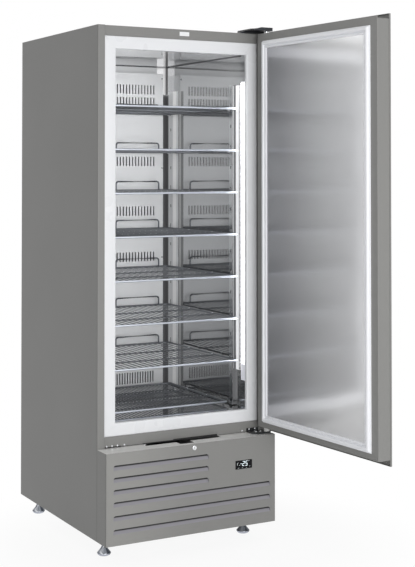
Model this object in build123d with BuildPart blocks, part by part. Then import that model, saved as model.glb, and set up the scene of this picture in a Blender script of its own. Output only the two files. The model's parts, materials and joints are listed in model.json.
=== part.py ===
from build123d import *
import os
from math import cos, radians, sin

# Upright commercial freezer with one tall door, seen with its door swung open.
# All sizes are millimetres. In cabinet terms X is 0 on the middle of the cabinet, Y is 0 on
# the front flanges of the side panels and grows to the back, and Z is 0 on the floor.

os.makedirs("parts", exist_ok=True)

# Cabinet
cabinet_width = 690.0
cabinet_height = 1890.0
cabinet_depth = 752.0
sheet = 1.0  # folded steel sheet
fold_radius = 4.0  # outside radius of the visible folds
flange_width = 28.0  # front return of each side panel
frame_recess = 7.5  # header, white frame and lower rail lie this far behind the flanges
header_height = 36.5
rail_height = 39.0
compartment_height = 321.0  # machine compartment, from the tray to its top ledge
foot_height = 70.0
back_return = 20.0

# White plastic frame round the opening, and the room behind it
frame_face = 46.0
frame_depth = 14.0
frame_round = 3.0
side_step = 9.0  # the liner's side walls stand back from the opening
level_step = 2.0  # and so do its floor and ceiling
back_insulation = 57.0  # between the liner's back and the outside

# Air duct on the back wall
duct_side_gap = 40.0  # between the duct and each side wall
duct_depth = 55.0
duct_headroom = 33.5  # over the duct, up to the ceiling
duct_lip = 12.0
outlet_pitch = 14.0
outlet_slot = (5.0, 38.0)
outlet_count = 29
outlet_drops = (68.0, 120.0, 367.0, 573.0, 762.0)  # rows of slots, down from the panel's top
return_slot = (5.0, 46.0)
return_pitch = 11.7
return_count = 34
return_rise = 41.0  # row of slots above the liner's floor

# Shelves and what carries them
shelf_count = 7
top_shelf_drop = 200.5  # middle of its rails below the opening's top
low_shelf_rise = 177.0  # and of the lowest shelf's above the opening's bottom
shelf_width = 526.0
shelf_front = 52.0
shelf_back_gap = 5.0
rail_size = 8.0
cross_rail_size = 6.0
wire_size = 3.2
wire_pitch = 24.0
wire_count = 22
stop_height = 40.0
stop_span = 184.0
stop_middle = 125.0
stop_wire = 5.0
stop_setback = 22.0
upright_depth = 12.0
upright_bottom_gap = 3.0
upright_over = 80.0  # above its top slot
front_upright = (122.0, 28.0)  # middle and width along Y
rear_upright_width = 92.0
rear_upright_gap = 33.0  # its middle in front of the shelves' back
rear_slot_gap = 11.0
slot_size = (5.0, 12.0)
slots_per_shelf = 2
slot_rise = 14.0  # each used slot is this far above its shelf's rails
clip_width = 10.0
clip_plate = 2.5
seat_gap = 0.3  # between pieces that part or slide

# Rack on the floor of the room
rack_width = 510.0
rack_front = 118.0
rack_back_gap = 35.0  # in front of the shelves' back
rack_pitch = 15.4
rack_wire_count = 32
rack_leg = 10.0

# Light bar on the right wall
lamp_width = 30.0
lamp_depth = 8.5
lamp_drop = 98.5  # below the opening's top
lamp_rise = 104.0  # above the opening's bottom
lamp_unlit = 62.0  # plain end under the diffuser
lamp_cap = 6.0
strip_back = 100.0  # thin strip of lamps on the wall behind the bar
strip_depth = 2.0
strip_drop = 12.0
strip_rise = 33.0

# Door
door_gap = 5.0  # inner face in front of the flange plane when shut
door_core_depth = 51.5
door_skin_depth = 9.0
door_drop = 12.0  # core's top below the cabinet's
door_overlap = 14.0  # core's bottom below the white frame
door_lip = 7.0  # inner sheet stands over the core's top
skin_over = 18.0  # the skin stands this far over the core's top
skin_under = 22.0  # and hangs this far under its bottom
gasket_inset = 7.0  # inside the outer edge of the white frame
gasket_over = 3.0  # over the frame's top
gasket_width = 28.0
gasket_base = 4.0
gasket_bead = 5.0
gasket_edge = 3.0
hinge_x = 332.0
hinge_y = -36.0
stored_opening = 93.6  # degrees
pin_radius = 5.0
pin_clearance = 0.05
bush_wall = 3.0
bush_length = 24.0
bush_flange = 3.0
hinge_plate = 5.0
hinge_nose = 15.0  # radius of the hinge arms round the pin
hinge_back = 60.0

# Lower panel, its louvres, lock and display
panel_projection = 75.0
louvre_height = 19.0
louvre_pocket = 9.0
louvre_corner = 8.0
louvre_left = -316.0
short_louvre_right = 61.0
long_louvre_right = 322.0
short_louvre_tops = (348.0, 306.0, 264.0)
long_louvre_tops = (221.0, 173.5, 126.5)
lock_x = 3.0
lock_z = 376.5
lock_radius = 8.5
lock_barrel_radius = 6.0
lock_barrel_length = 22.0
lock_cam_reach = 44.0
lock_cam_width = 11.0
lock_cam_plate = 3.0
display_size = (71.0, 32.0)
display_x = 208.5
display_z = 294.0
display_lens = 2.0
controller_depth = 58.0
bezel = 3.0
catch_slot = (-164.0, 142.0)  # left and right end of the long slot in the ledge
catch_slot_depth = 29.5
cam_notch = (-43.0, 13.0)
cam_notch_depth = 33.0

# Feet
foot_x = 288.0
foot_front = 66.0
foot_back_gap = 52.0
foot_radius = 25.0
foot_cone = 32.0
foot_neck = 9.0
stem_radius = 5.0
stem_clearance = 0.1

# Places worked out from the sizes above
half_width = cabinet_width / 2
inside_half = half_width - sheet
tucked_half = inside_half - sheet  # of flat sheets that tuck into a side panel's back fold
opening_edge = half_width - flange_width  # outer edge of the white frame
compartment_top = foot_height + compartment_height
frame_bottom = compartment_top + rail_height
frame_top = cabinet_height - header_height
opening_half = opening_edge - frame_face
opening_bottom = frame_bottom + frame_face
opening_top = frame_top - frame_face
frame_back = frame_recess + frame_depth
liner_half = opening_half + side_step
liner_floor = opening_bottom - level_step
liner_ceiling = opening_top + level_step
liner_back = cabinet_depth - back_insulation
back_inside = cabinet_depth - sheet
duct_front = liner_back - duct_depth
duct_bottom = liner_floor + seat_gap
duct_top = liner_ceiling - duct_headroom
duct_half = liner_half - duct_side_gap
door_core_bottom = frame_bottom - door_overlap
door_core_top = cabinet_height - door_drop
door_inner = -door_gap
door_joint = door_inner - door_core_depth
door_outer = door_joint - door_skin_depth
skin_bottom = door_core_bottom - skin_under
skin_top = door_core_top + skin_over
gasket_half = opening_edge - gasket_inset
gasket_bottom = frame_bottom + gasket_inset
gasket_top = frame_top + gasket_over
gasket_depth = door_gap + frame_recess - seat_gap
panel_front = -panel_projection
shelf_back = duct_front - shelf_back_gap
top_shelf_height = opening_top - top_shelf_drop
low_shelf_height = opening_bottom + low_shelf_rise
shelf_pitch = (top_shelf_height - low_shelf_height) / (shelf_count - 1)
shelf_heights = [top_shelf_height - n * shelf_pitch for n in range(shelf_count)]
slot_pitch = shelf_pitch / slots_per_shelf
slot_count = slots_per_shelf * shelf_count
slot_top = top_shelf_height + slot_rise
rear_upright = (shelf_back - rear_upright_gap, rear_upright_width)
rear_slot_place = shelf_back - rear_slot_gap
rack_back = shelf_back - rack_back_gap
lamp_bottom = opening_bottom + lamp_rise
lamp_lit_bottom = lamp_bottom + lamp_unlit
lamp_top = opening_top - lamp_drop
foot_back = cabinet_depth - foot_back_gap

# The model's origin is on the floor, under the middle of the box round the freezer with its
# door open, so the cabinet's own axes are set off from it by half of what the door adds.
turn = radians(stored_opening)
edge_x = -half_width - hinge_x
door_reach = hinge_x + edge_x * cos(turn) - (door_outer - hinge_y) * sin(turn)
door_front = hinge_y + edge_x * sin(turn) + (door_inner - hinge_y) * cos(turn)
middle_x = (door_reach - half_width) / 2
middle_y = (door_front + cabinet_depth) / 2
cabinet = Plane(origin=(-middle_x, -middle_y, 0), x_dir=(1, 0, 0), z_dir=(0, 0, 1))

# Door pieces are drawn where they are with the door shut, on this turned ground plane.
hinge_axis = cabinet.from_local_coords((hinge_x, hinge_y, 0))
shut_offset = Vector(hinge_x, hinge_y, 0).rotate(Axis.Z, stored_opening)
door = Plane(origin=hinge_axis - shut_offset, x_dir=(cos(turn), sin(turn), 0), z_dir=(0, 0, 1))


def level(height, ground=cabinet):
    """A flat plane at a height, with X to the right and Y to the back."""
    return ground.offset(height)


def front(depth, ground=cabinet):
    """An upright plane that faces the front, with X to the right and Y up."""
    return Plane(
        origin=ground.from_local_coords((0, depth, 0)), x_dir=ground.x_dir, z_dir=-ground.y_dir
    )


def side(place, ground=cabinet):
    """An upright plane that faces right, with X to the back and Y up."""
    return Plane(
        origin=ground.from_local_coords((place, 0, 0)), x_dir=ground.y_dir, z_dir=ground.x_dir
    )


def save(piece, label):
    """Label a finished piece and write it to its own file."""
    piece.part.label = label
    export_step(piece.part, f"parts/{label}.step")


def block(low, high, ground=cabinet, mode=Mode.ADD):
    """A block between two corners given in the ground plane's own terms."""
    low, high = Vector(*low), Vector(*high)
    size = high - low
    with Locations(ground.location * Location((low + high) / 2)):
        Box(size.X, size.Y, size.Z, mode=mode)


def folded(points, radius, thickness=sheet, turn_to=Side.LEFT):
    """The section of a folded sheet whose outer face follows the points."""
    with BuildSketch() as section:
        with BuildLine():
            FilletPolyline(*points, radius=radius)
            offset(amount=thickness, side=turn_to)
        make_face()
    return section.sketch


# Side panels: one sheet each, folded round at the front and returned behind the frame
with BuildPart() as side_right:
    with BuildSketch(level(foot_height)):
        add(folded(
            (
                (opening_edge, frame_back),
                (opening_edge, 0),
                (half_width, 0),
                (half_width, cabinet_depth),
                (half_width - back_return, cabinet_depth),
            ),
            radius=(fold_radius / 2, fold_radius, fold_radius / 2),
        ))
    extrude(amount=cabinet_height - foot_height)
save(side_right, "side_panel_right")

with BuildPart() as side_left:
    add(mirror(side_right.part, about=side(0), mode=Mode.PRIVATE))
save(side_left, "side_panel_left")

# Top panel: its front is folded down into the header between the side flanges
with BuildPart() as top:
    with BuildSketch(side(-opening_edge)):
        add(folded(
            (
                (frame_back, frame_top),
                (frame_recess, frame_top),
                (frame_recess, cabinet_height),
                (frame_back + flange_width, cabinet_height),
            ),
            radius=fold_radius / 2,
            turn_to=Side.RIGHT,
        ))
    extrude(amount=2 * opening_edge)
    block(
        (-tucked_half, frame_back, cabinet_height - sheet),
        (tucked_half, back_inside, cabinet_height),
    )
save(top, "top_panel")

# Back panel, and the vented cover below it that closes the machine compartment
with BuildPart() as back:
    block(
        (-tucked_half, back_inside - sheet, compartment_top + sheet),
        (tucked_half, back_inside, cabinet_height - sheet),
    )
save(back, "back_panel")

vent_slot = (210.0, 9.0)
vent_columns = 2
vent_rows = 7
vent_pitch = (262.5, 26.0)
vent_offset = 21.0
inlet_x = -255.0
inlet_height = 130.0
inlet_size = (48.0, 27.0)
inlet_flange = 4.0
inlet_depth = 26.0
socket_size = (24.0, 16.0)
socket_depth = 18.0
with BuildPart() as vent_cover:
    block(
        (-tucked_half, back_inside - sheet, foot_height + 2 * sheet),
        (tucked_half, back_inside, compartment_top),
    )
    with BuildSketch(front(back_inside)):
        with Locations((vent_offset, (foot_height + compartment_top) / 2)):
            with GridLocations(*vent_pitch, vent_columns, vent_rows):
                Rectangle(*vent_slot)
        with Locations((inlet_x, inlet_height)):
            Rectangle(*inlet_size)
    extrude(amount=sheet, mode=Mode.SUBTRACT)
save(vent_cover, "rear_vent_cover")

with BuildPart() as inlet:
    with BuildSketch(front(cabinet_depth)):
        with Locations((inlet_x, inlet_height)):
            RectangleRounded(
                inlet_size[0] + 2 * inlet_flange, inlet_size[1] + 2 * inlet_flange, inlet_flange - sheet
            )
    extrude(amount=sheet)
    with BuildSketch(front(back_inside)):
        with Locations((inlet_x, inlet_height)):
            Rectangle(*inlet_size)
    extrude(amount=inlet_depth)
    with BuildSketch(front(cabinet_depth)):
        with Locations((inlet_x, inlet_height)):
            Rectangle(*socket_size)
    extrude(amount=socket_depth, mode=Mode.SUBTRACT)
save(inlet, "power_inlet")

# Base tray with a threaded boss over each foot
foot_places = {
    "front_left": (-foot_x, foot_front),
    "front_right": (foot_x, foot_front),
    "rear_left": (-foot_x, foot_back),
    "rear_right": (foot_x, foot_back),
}
tray_wall = 26.0
tray_plate = 1.5
boss_radius = 11.0
boss_height = 14.0
with BuildPart() as tray:
    with BuildSketch(front(back_inside - sheet)):
        add(folded(
            (
                (-inside_half, foot_height + tray_wall),
                (-inside_half, foot_height),
                (inside_half, foot_height),
                (inside_half, foot_height + tray_wall),
            ),
            radius=fold_radius / 2,
            thickness=tray_plate,
        ))
    extrude(amount=back_inside - sheet - frame_back)
    block((-opening_edge, 0, foot_height), (opening_edge, frame_back, foot_height + tray_plate))
    with BuildSketch(level(foot_height)):
        with Locations(*foot_places.values()):
            Rectangle(2 * boss_radius, 2 * boss_radius)
    extrude(amount=boss_height)
    with BuildSketch(level(foot_height)):
        with Locations(*foot_places.values()):
            Circle(stem_radius + stem_clearance)
    extrude(amount=boss_height, mode=Mode.SUBTRACT)
save(tray, "base_tray")

# Adjustable feet: a chromed cone under a threaded stem
for name, (place_x, place_y) in foot_places.items():
    with BuildPart() as foot:
        with BuildSketch(Plane(
            origin=cabinet.from_local_coords((place_x, place_y, 0)),
            x_dir=cabinet.x_dir,
            z_dir=-cabinet.y_dir,
        )):
            with BuildLine():
                Polyline(
                    (0, 0),
                    (foot_radius, 0),
                    (foot_radius - 1, 3),
                    (foot_neck, foot_cone),
                    (foot_neck, foot_height - seat_gap),
                    (stem_radius, foot_height - seat_gap),
                    (stem_radius, foot_height + boss_height),
                    (0, foot_height + boss_height),
                    close=True,
                )
            make_face()
        revolve(axis=Axis(cabinet.from_local_coords((place_x, place_y, 0)), (0, 0, 1)))
    save(foot, f"foot_{name}")

# Lower rail: front face of the insulated box under the frame, returned as its underside
with BuildPart() as rail:
    with BuildSketch(side(-opening_edge)):
        add(folded(
            (
                (frame_back, frame_bottom),
                (frame_recess, frame_bottom),
                (frame_recess, compartment_top),
                (frame_back + flange_width, compartment_top),
            ),
            radius=fold_radius / 2,
        ))
    extrude(amount=2 * opening_edge)
    block(
        (-inside_half, frame_back, compartment_top),
        (inside_half, back_inside - sheet, compartment_top + sheet),
    )
save(rail, "lower_rail")

# Foamed insulation, poured between the outer sheets and the liner
with BuildPart() as foam:
    block(
        (-inside_half, frame_back, compartment_top + sheet),
        (inside_half, back_inside - sheet, cabinet_height - sheet),
    )
    for hand in (-1, 1):
        with BuildSketch(level(compartment_top + sheet)):
            with Locations((hand * (inside_half - flange_width / 2 + sheet), frame_back)):
                Rectangle(flange_width + 2 * sheet, 4 * sheet)
        extrude(amount=cabinet_height, mode=Mode.SUBTRACT)
    block(
        (-liner_half - sheet, 0, liner_floor - sheet),
        (liner_half + sheet, liner_back + sheet, liner_ceiling + sheet),
        mode=Mode.SUBTRACT,
    )
save(foam, "foam_insulation")

# Stainless liner, open to the front
with BuildPart() as liner:
    block(
        (-liner_half - sheet, frame_back, liner_floor - sheet),
        (liner_half + sheet, liner_back + sheet, liner_ceiling + sheet),
    )
    block(
        (-liner_half, frame_back, liner_floor),
        (liner_half, liner_back, liner_ceiling),
        mode=Mode.SUBTRACT,
    )
save(liner, "inner_liner")

# White frame: four strips, mitred at the corners and rounded along both front edges
frame_corners = (
    (-opening_edge, frame_bottom, -opening_half, opening_bottom),
    (opening_edge, frame_bottom, opening_half, opening_bottom),
    (opening_edge, frame_top, opening_half, opening_top),
    (-opening_edge, frame_top, -opening_half, opening_top),
)
with BuildPart() as frame:
    for start, end in zip(frame_corners, frame_corners[1:] + frame_corners[:1]):
        with BuildPart(mode=Mode.PRIVATE) as strip:
            with BuildSketch(front(frame_back)):
                Polygon(start[:2], end[:2], end[2:], start[2:], align=None)
            extrude(amount=frame_depth)
            run = Axis.X if start[1] == end[1] else Axis.Z
            long_edges = strip.edges().filter_by(run).group_by(Axis.Y)[0]
            fillet(long_edges, frame_round)
        add(strip.part)
save(frame, "breaker_frame")

# Duct panel on the back wall, folded back at both sides, with its rows of air slots
with BuildPart() as duct:
    with BuildSketch(level(duct_bottom)):
        add(folded(
            (
                (duct_half, liner_back),
                (duct_half, duct_front),
                (-duct_half, duct_front),
                (-duct_half, liner_back),
            ),
            radius=fold_radius / 2,
            turn_to=Side.RIGHT,
        ))
    extrude(amount=duct_top - duct_bottom)
    with BuildSketch(front(duct_front)):
        for drop in outlet_drops:
            with Locations((0, duct_top - drop)):
                with GridLocations(outlet_pitch, outlet_pitch, outlet_count, 1):
                    Rectangle(*outlet_slot)
        with Locations((0, liner_floor + return_rise)):
            with GridLocations(return_pitch, return_pitch, return_count, 1):
                Rectangle(*return_slot)
    extrude(amount=-2 * sheet, mode=Mode.SUBTRACT)
save(duct, "air_duct_panel")

# The duct's lid: its lip hangs behind the panel, and its back flange stands on the liner's wall
lid_half = duct_half - fold_radius / 2 - seat_gap
with BuildPart() as duct_cover:
    with BuildSketch(side(-lid_half)):
        add(folded(
            (
                (duct_front + sheet, duct_top - duct_lip),
                (duct_front + sheet, duct_top),
                (liner_back - sheet, duct_top),
                (liner_back - sheet, liner_ceiling - seat_gap),
            ),
            radius=fold_radius / 2,
            turn_to=Side.RIGHT,
        ))
    extrude(amount=2 * lid_half)
save(duct_cover, "duct_top_cover")

# Evaporator behind the duct panel: a finned block between two end plates
coil_bottom = liner_floor + 86.0
coil_height = 290.0
coil_width = 360.0
coil_room = 6.0  # to the duct panel and to the liner
coil_front = duct_front + coil_room
coil_back = liner_back - coil_room
fin_pitch = 15.0
fin_gap = 7.0
fin_depth = 34.0
plate_overhang = 8.0
with BuildPart() as coil:
    block(
        (-coil_width / 2, coil_front, coil_bottom),
        (coil_width / 2, coil_back, coil_bottom + coil_height),
    )
    with BuildSketch(level(coil_bottom)):
        with Locations((0, coil_front)):
            with GridLocations(fin_pitch, fin_pitch, int(coil_width / fin_pitch) - 1, 1):
                Rectangle(fin_gap, 2 * fin_depth)
    extrude(amount=coil_height, mode=Mode.SUBTRACT)
    for hand in (-1, 1):
        plate_x = hand * (coil_width / 2 + sheet)
        block(
            (plate_x - sheet, coil_front, coil_bottom - plate_overhang),
            (plate_x + sheet, liner_back, coil_bottom + coil_height + plate_overhang),
        )
save(coil, "evaporator_coil")


blade_slant = radians(35)
blade_sheet = 1.5


def fan_blade(centre, outer_radius, hub_radius, depth, blades, bore):
    """A fan wheel on an axis along Y: a hub, and flat blades set at a slant to the air."""
    plane = Plane(
        origin=cabinet.from_local_coords(centre), x_dir=cabinet.x_dir, z_dir=-cabinet.y_dir
    )
    root, tip = 0.6 * depth, 0.75 * depth  # half the blade's width at either end
    with BuildPart() as wheel:
        with BuildSketch(plane):
            Circle(hub_radius)
        extrude(amount=depth)
        for n in range(blades):
            angle = radians(360 / blades * n)
            outward = plane.x_dir * cos(angle) + plane.y_dir * sin(angle)
            across = outward.cross(plane.z_dir)
            blade = Plane(
                origin=plane.origin + plane.z_dir * (depth / 2),
                x_dir=outward,
                z_dir=plane.z_dir * cos(blade_slant) + across * sin(blade_slant),
            )
            with BuildSketch(blade):
                Polygon(
                    (hub_radius * 0.8, -root), (outer_radius, -tip),
                    (outer_radius, tip), (hub_radius * 0.8, root), align=None,
                )
            extrude(amount=blade_sheet / 2, both=True)
        with BuildSketch(plane):
            Circle(bore)
        extrude(amount=depth, mode=Mode.SUBTRACT)
    return wheel


def fan_motor(centre, can_radius, can_depth, shaft, plate_back):
    """A motor behind a fan wheel: its can, its shaft and the bracket strip it hangs from."""
    plane = Plane(
        origin=cabinet.from_local_coords(centre), x_dir=cabinet.x_dir, z_dir=-cabinet.y_dir
    )
    with BuildPart() as motor:
        with BuildSketch(plane):
            Circle(can_radius)
        extrude(amount=-can_depth)
        with BuildSketch(plane):
            Circle(shaft[0])
        extrude(amount=shaft[1])
        half_x, half_z, back_y = plate_back
        block(
            (centre[0] - half_x, back_y - 2, centre[2] - half_z),
            (centre[0] + half_x, back_y, centre[2] + half_z),
        )
    return motor


shaft_radius = 3.0
wheel_gap = 3.0  # between a fan wheel and its motor
blade_count = 5
evaporator_motor = (30.0, 23.0)  # radius and depth of its can
evaporator_wheel = (72.0, 20.0, 22.0)  # radius, hub radius and depth
evaporator_bracket = (95.0, 40.0)
evaporator_fan = (0.0, liner_back - evaporator_motor[1], coil_bottom + coil_height + 100.0)
fan_motor_node = fan_motor(
    evaporator_fan,
    *evaporator_motor,
    (shaft_radius, evaporator_wheel[2]),
    (*evaporator_bracket, liner_back),
)
save(fan_motor_node, "evaporator_fan_motor")
fan_wheel_node = fan_blade(
    (0, evaporator_fan[1] - wheel_gap, evaporator_fan[2]),
    *evaporator_wheel, blade_count, shaft_radius + pin_clearance,
)
save(fan_wheel_node, "evaporator_fan_blade")


# Uprights: folded hat channels on the side walls, with a row of hook slots
def upright(place, width, slot_place, hand):
    """One upright on the left (-1) or right (1) wall."""
    wall_x = hand * liner_half
    face_x = hand * (liner_half - upright_depth)
    bottom = liner_floor + upright_bottom_gap
    with BuildPart() as post:
        with BuildSketch(level(bottom)):
            add(folded(
                (
                    (wall_x, place - width / 2),
                    (face_x, place - width / 2),
                    (face_x, place + width / 2),
                    (wall_x, place + width / 2),
                ),
                radius=fold_radius / 2,
                turn_to=Side.LEFT if hand < 0 else Side.RIGHT,
            ))
        extrude(amount=slot_top + upright_over - bottom)
        with BuildSketch(side(face_x)):
            for n in range(slot_count):
                with Locations((slot_place, slot_top - n * slot_pitch)):
                    Rectangle(*slot_size)
        extrude(amount=2 * sheet, both=True, mode=Mode.SUBTRACT)
    return post


hands = {"left": -1, "right": 1}
for name, hand in hands.items():
    save(upright(*front_upright, front_upright[0], hand), f"upright_front_{name}")
    save(upright(*rear_upright, rear_slot_place, hand), f"upright_rear_{name}")

# Shelf clips: hooked into a slot, down the face of the upright, and out under the rail
clip_reach = 16.0
clip_hook = slot_size[0] - 2 * seat_gap
with BuildPart() as clips:
    for hand in hands.values():
        face_x = hand * (liner_half - upright_depth)
        for place in (front_upright[0], rear_slot_place):
            for height in shelf_heights:
                seat = height - rail_size / 2 - seat_gap
                hook = height + slot_rise - clip_plate / 2 - seat
                with BuildSketch(front(place + clip_hook / 2)):
                    with Locations((face_x, seat)):
                        Polygon(
                            (hand * 2 * clip_plate, hook),
                            (hand * 2 * clip_plate, hook + clip_plate),
                            (-hand * clip_plate, hook + clip_plate),
                            (-hand * clip_plate, 0),
                            (-hand * clip_reach, 0),
                            (-hand * clip_reach, -clip_plate),
                            (0, -clip_plate),
                            (0, hook),
                            align=None,
                        )
                extrude(amount=clip_hook)
save(clips, "shelf_clips")

# Light bar: a housing on the right wall with a long diffuser let into its front, and a thin
# strip of lamps behind it
lamp_front = frame_back + seat_gap
diffuser_front = lamp_front + lamp_width * 0.1
diffuser_back = lamp_front + lamp_width * 0.9
diffuser_seat = lamp_depth * 0.4
with BuildPart() as lamp:
    with BuildSketch(level(lamp_bottom)):
        with Locations((liner_half - lamp_depth / 2, lamp_front + lamp_width / 2)):
            RectangleRounded(lamp_depth, lamp_width, 2)
    extrude(amount=lamp_top - lamp_bottom)
    block(
        (liner_half - lamp_depth, diffuser_front, lamp_lit_bottom),
        (liner_half - diffuser_seat, diffuser_back, lamp_top - lamp_cap),
        mode=Mode.SUBTRACT,
    )
    block(
        (liner_half - strip_depth, lamp_front + lamp_cap, lamp_bottom + strip_rise),
        (liner_half, strip_back, lamp_top - strip_drop),
    )
save(lamp, "led_housing")

with BuildPart() as diffuser:
    block(
        (liner_half - lamp_depth, diffuser_front, lamp_lit_bottom),
        (liner_half - diffuser_seat, diffuser_back, lamp_top - lamp_cap),
    )
    fillet(diffuser.edges().filter_by(Axis.Z).group_by(Axis.X)[0], 1.5)
save(diffuser, "led_diffuser")


# Shelves: welded wire, with two wire stops standing at the back
def bar(start, end, size, sides=6):
    """A straight rod, with flats in place of its round, between two points of the cabinet."""
    start, end = cabinet.from_local_coords(start), cabinet.from_local_coords(end)
    run = end - start
    across = Vector(0, 0, 1).cross(run) if run.Z == 0 else Vector(1, 0, 0)
    with BuildPart() as rod:
        with BuildSketch(Plane(origin=start, x_dir=across, z_dir=run)):
            RegularPolygon(size / 2, sides, rotation=180 / sides, major_radius=False)
        extrude(amount=run.length)
    return rod.part


def wire_stop(middle, place, base):
    """An upright hoop of wire for the back of a shelf."""
    with BuildPart() as hoop:
        with BuildSketch(front(place + stop_wire / 2)):
            with BuildLine():
                FilletPolyline(
                    (middle - stop_span / 2, base),
                    (middle - stop_span / 2, base + stop_height),
                    (middle + stop_span / 2, base + stop_height),
                    (middle + stop_span / 2, base),
                    radius=2 * stop_wire,
                )
                offset(amount=stop_wire, side=Side.RIGHT)
            make_face()
        extrude(amount=stop_wire)
    return hoop.part


def wire_grid(width, near, far, height, pitch, count):
    """The welded wires of a shelf or rack, with the middle of its rails at the height."""
    edge = width / 2 - rail_size / 2
    near, far = near + rail_size / 2, far - rail_size / 2
    under = height - (wire_size + cross_rail_size) / 2 - seat_gap
    rods = [
        bar((-width / 2, place, height), (width / 2, place, height), rail_size, 8)
        for place in (near, far)
    ]
    rods += [
        bar((hand * edge, near, height), (hand * edge, far, height), rail_size, 8)
        for hand in hands.values()
    ]
    for share in (1 / 3, 2 / 3):
        place = near + share * (far - near)
        rods.append(bar((-edge, place, under), (edge, place, under), cross_rail_size, 4))
    for n in range(count):
        place = (n - (count - 1) / 2) * pitch
        rods.append(bar((place, near, height), (place, far, height), wire_size, 4))
    return rods


with BuildPart() as top_shelf:
    add(wire_grid(
        shelf_width, shelf_front, shelf_back, top_shelf_height, wire_pitch, wire_count
    ))
    for hand in hands.values():
        add(wire_stop(hand * stop_middle, shelf_back - stop_setback, top_shelf_height))
for n, height in enumerate(shelf_heights):
    with BuildPart() as shelf:
        with Locations(Location((0, 0, height - top_shelf_height))):
            add(top_shelf.part)
    save(shelf, f"shelf_{n + 1}")

# Rack on the floor of the room: closer wires, on four short legs
rack_height = liner_floor + seat_gap + rack_leg + rail_size / 2
with BuildPart() as rack:
    add(wire_grid(
        rack_width, rack_front, rack_back, rack_height, rack_pitch, rack_wire_count
    ))
    for hand in hands.values():
        for place in (rack_front + 4 * rail_size, rack_back - 4 * rail_size):
            leg_x = hand * (rack_width / 2 - rail_size / 2)
            add(bar(
                (leg_x, place, liner_floor + seat_gap), (leg_x, place, rack_height), cross_rail_size
            ))
save(rack, "bottom_rack")

# Door: a foamed core between an outer skin that stands over it and a polished inner panel
bush_radius = pin_radius + pin_clearance + bush_wall
lock_pocket = (16.0, 10.0)  # room round the raised cam in the door's bottom
with BuildPart() as core:
    block(
        (-half_width, door_joint, door_core_bottom), (half_width, door_inner, door_core_top), door
    )
    fillet(core.edges().filter_by(Axis.Z), 2)
    block(
        (-half_width, door_inner - 2 * sheet, door_core_top - sheet),
        (half_width, door_inner, door_core_top + door_lip),
        door,
    )
    with BuildSketch(level(door_core_top, door)):
        with Locations((hinge_x, hinge_y), (-hinge_x, hinge_y)):
            Circle(bush_radius)
    extrude(amount=-bush_length, mode=Mode.SUBTRACT)
    with BuildSketch(level(door_core_bottom, door)):
        with Locations((hinge_x, hinge_y), (-hinge_x, hinge_y)):
            Circle(bush_radius)
    extrude(amount=bush_length, mode=Mode.SUBTRACT)
    with BuildSketch(level(door_core_bottom, door)):
        with Locations((lock_x, panel_front + lock_barrel_length + lock_cam_plate)):
            Rectangle(2 * lock_pocket[0], 2 * lock_pocket[1])
    extrude(amount=lock_pocket[0], mode=Mode.SUBTRACT)
save(core, "door_core")

with BuildPart() as skin:
    block((-half_width, door_outer, skin_bottom), (half_width, door_joint, skin_top), door)
    fillet(skin.edges().filter_by(Axis.Z).group_by(Axis((0, 0, 0), door.y_dir))[0], fold_radius)
    block(
        (sheet - half_width, door_outer + sheet, skin_bottom + sheet),
        (half_width - sheet, door_joint, skin_top - sheet),
        door,
        mode=Mode.SUBTRACT,
    )
save(skin, "door_skin")

inner_half = gasket_half - gasket_width
inner_panel_rise = 2.0
with BuildPart() as inner_panel:
    with BuildSketch(front(door_inner + inner_panel_rise, door)):
        with Locations((0, (gasket_bottom + gasket_top) / 2)):
            RectangleRounded(2 * inner_half, gasket_top - gasket_bottom - 2 * gasket_width, 3)
    extrude(amount=inner_panel_rise)
save(inner_panel, "door_liner")

with BuildPart() as gasket:
    with BuildSketch(front(door_inner + gasket_depth, door)):
        with Locations((0, (gasket_bottom + gasket_top) / 2)):
            Rectangle(2 * gasket_half, gasket_top - gasket_bottom)
            Rectangle(2 * inner_half, gasket_top - gasket_bottom - 2 * gasket_width, mode=Mode.SUBTRACT)
    extrude(amount=gasket_depth)
    bead = gasket.edges().group_by(Axis((0, 0, 0), door.y_dir))[-1]
    chamfer(bead, gasket_depth - gasket_base - gasket_edge, gasket_bead)
save(gasket, "door_gasket")

# Hinge bushes: nylon sleeves, flanged outside the core; the lower one carries the door
with BuildPart() as top_bush:
    with BuildSketch(level(door_core_top, door)):
        with Locations((hinge_x, hinge_y)):
            Circle(bush_radius)
            Circle(pin_radius + pin_clearance, mode=Mode.SUBTRACT)
    extrude(amount=-bush_length)
    with BuildSketch(level(door_core_top, door)):
        with Locations((hinge_x, hinge_y)):
            Circle(bush_radius + bush_flange)
            Circle(pin_radius + pin_clearance, mode=Mode.SUBTRACT)
    extrude(amount=bush_flange)
save(top_bush, "hinge_bush_top")

lower_arm_top = compartment_top + seat_gap + hinge_plate
with BuildPart() as low_bush:
    with BuildSketch(level(door_core_bottom, door)):
        with Locations((hinge_x, hinge_y)):
            Circle(bush_radius)
            Circle(pin_radius + pin_clearance, mode=Mode.SUBTRACT)
    extrude(amount=bush_length)
    with BuildSketch(level(door_core_bottom, door)):
        with Locations((hinge_x, hinge_y)):
            Circle(bush_radius + bush_flange)
            Circle(pin_radius + pin_clearance, mode=Mode.SUBTRACT)
    extrude(amount=-(door_core_bottom - lower_arm_top - seat_gap))
save(low_bush, "hinge_bush_bottom")


def arm_outline(left):
    """A hinge plate seen from above: square at the back, rounded round the pin."""
    with BuildSketch() as outline:
        with Locations((hinge_x, hinge_y)):
            Circle(hinge_nose)
        with Locations(((left + half_width - 3) / 2, (hinge_y + frame_recess) / 2)):
            Rectangle(half_width - 3 - left, frame_recess - hinge_y)
        Polygon(
            (left, hinge_y), (hinge_x, hinge_y), (hinge_x, hinge_y - hinge_nose),
            (left + hinge_nose, hinge_y - hinge_nose), align=None,
        )
    return outline.sketch


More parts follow.
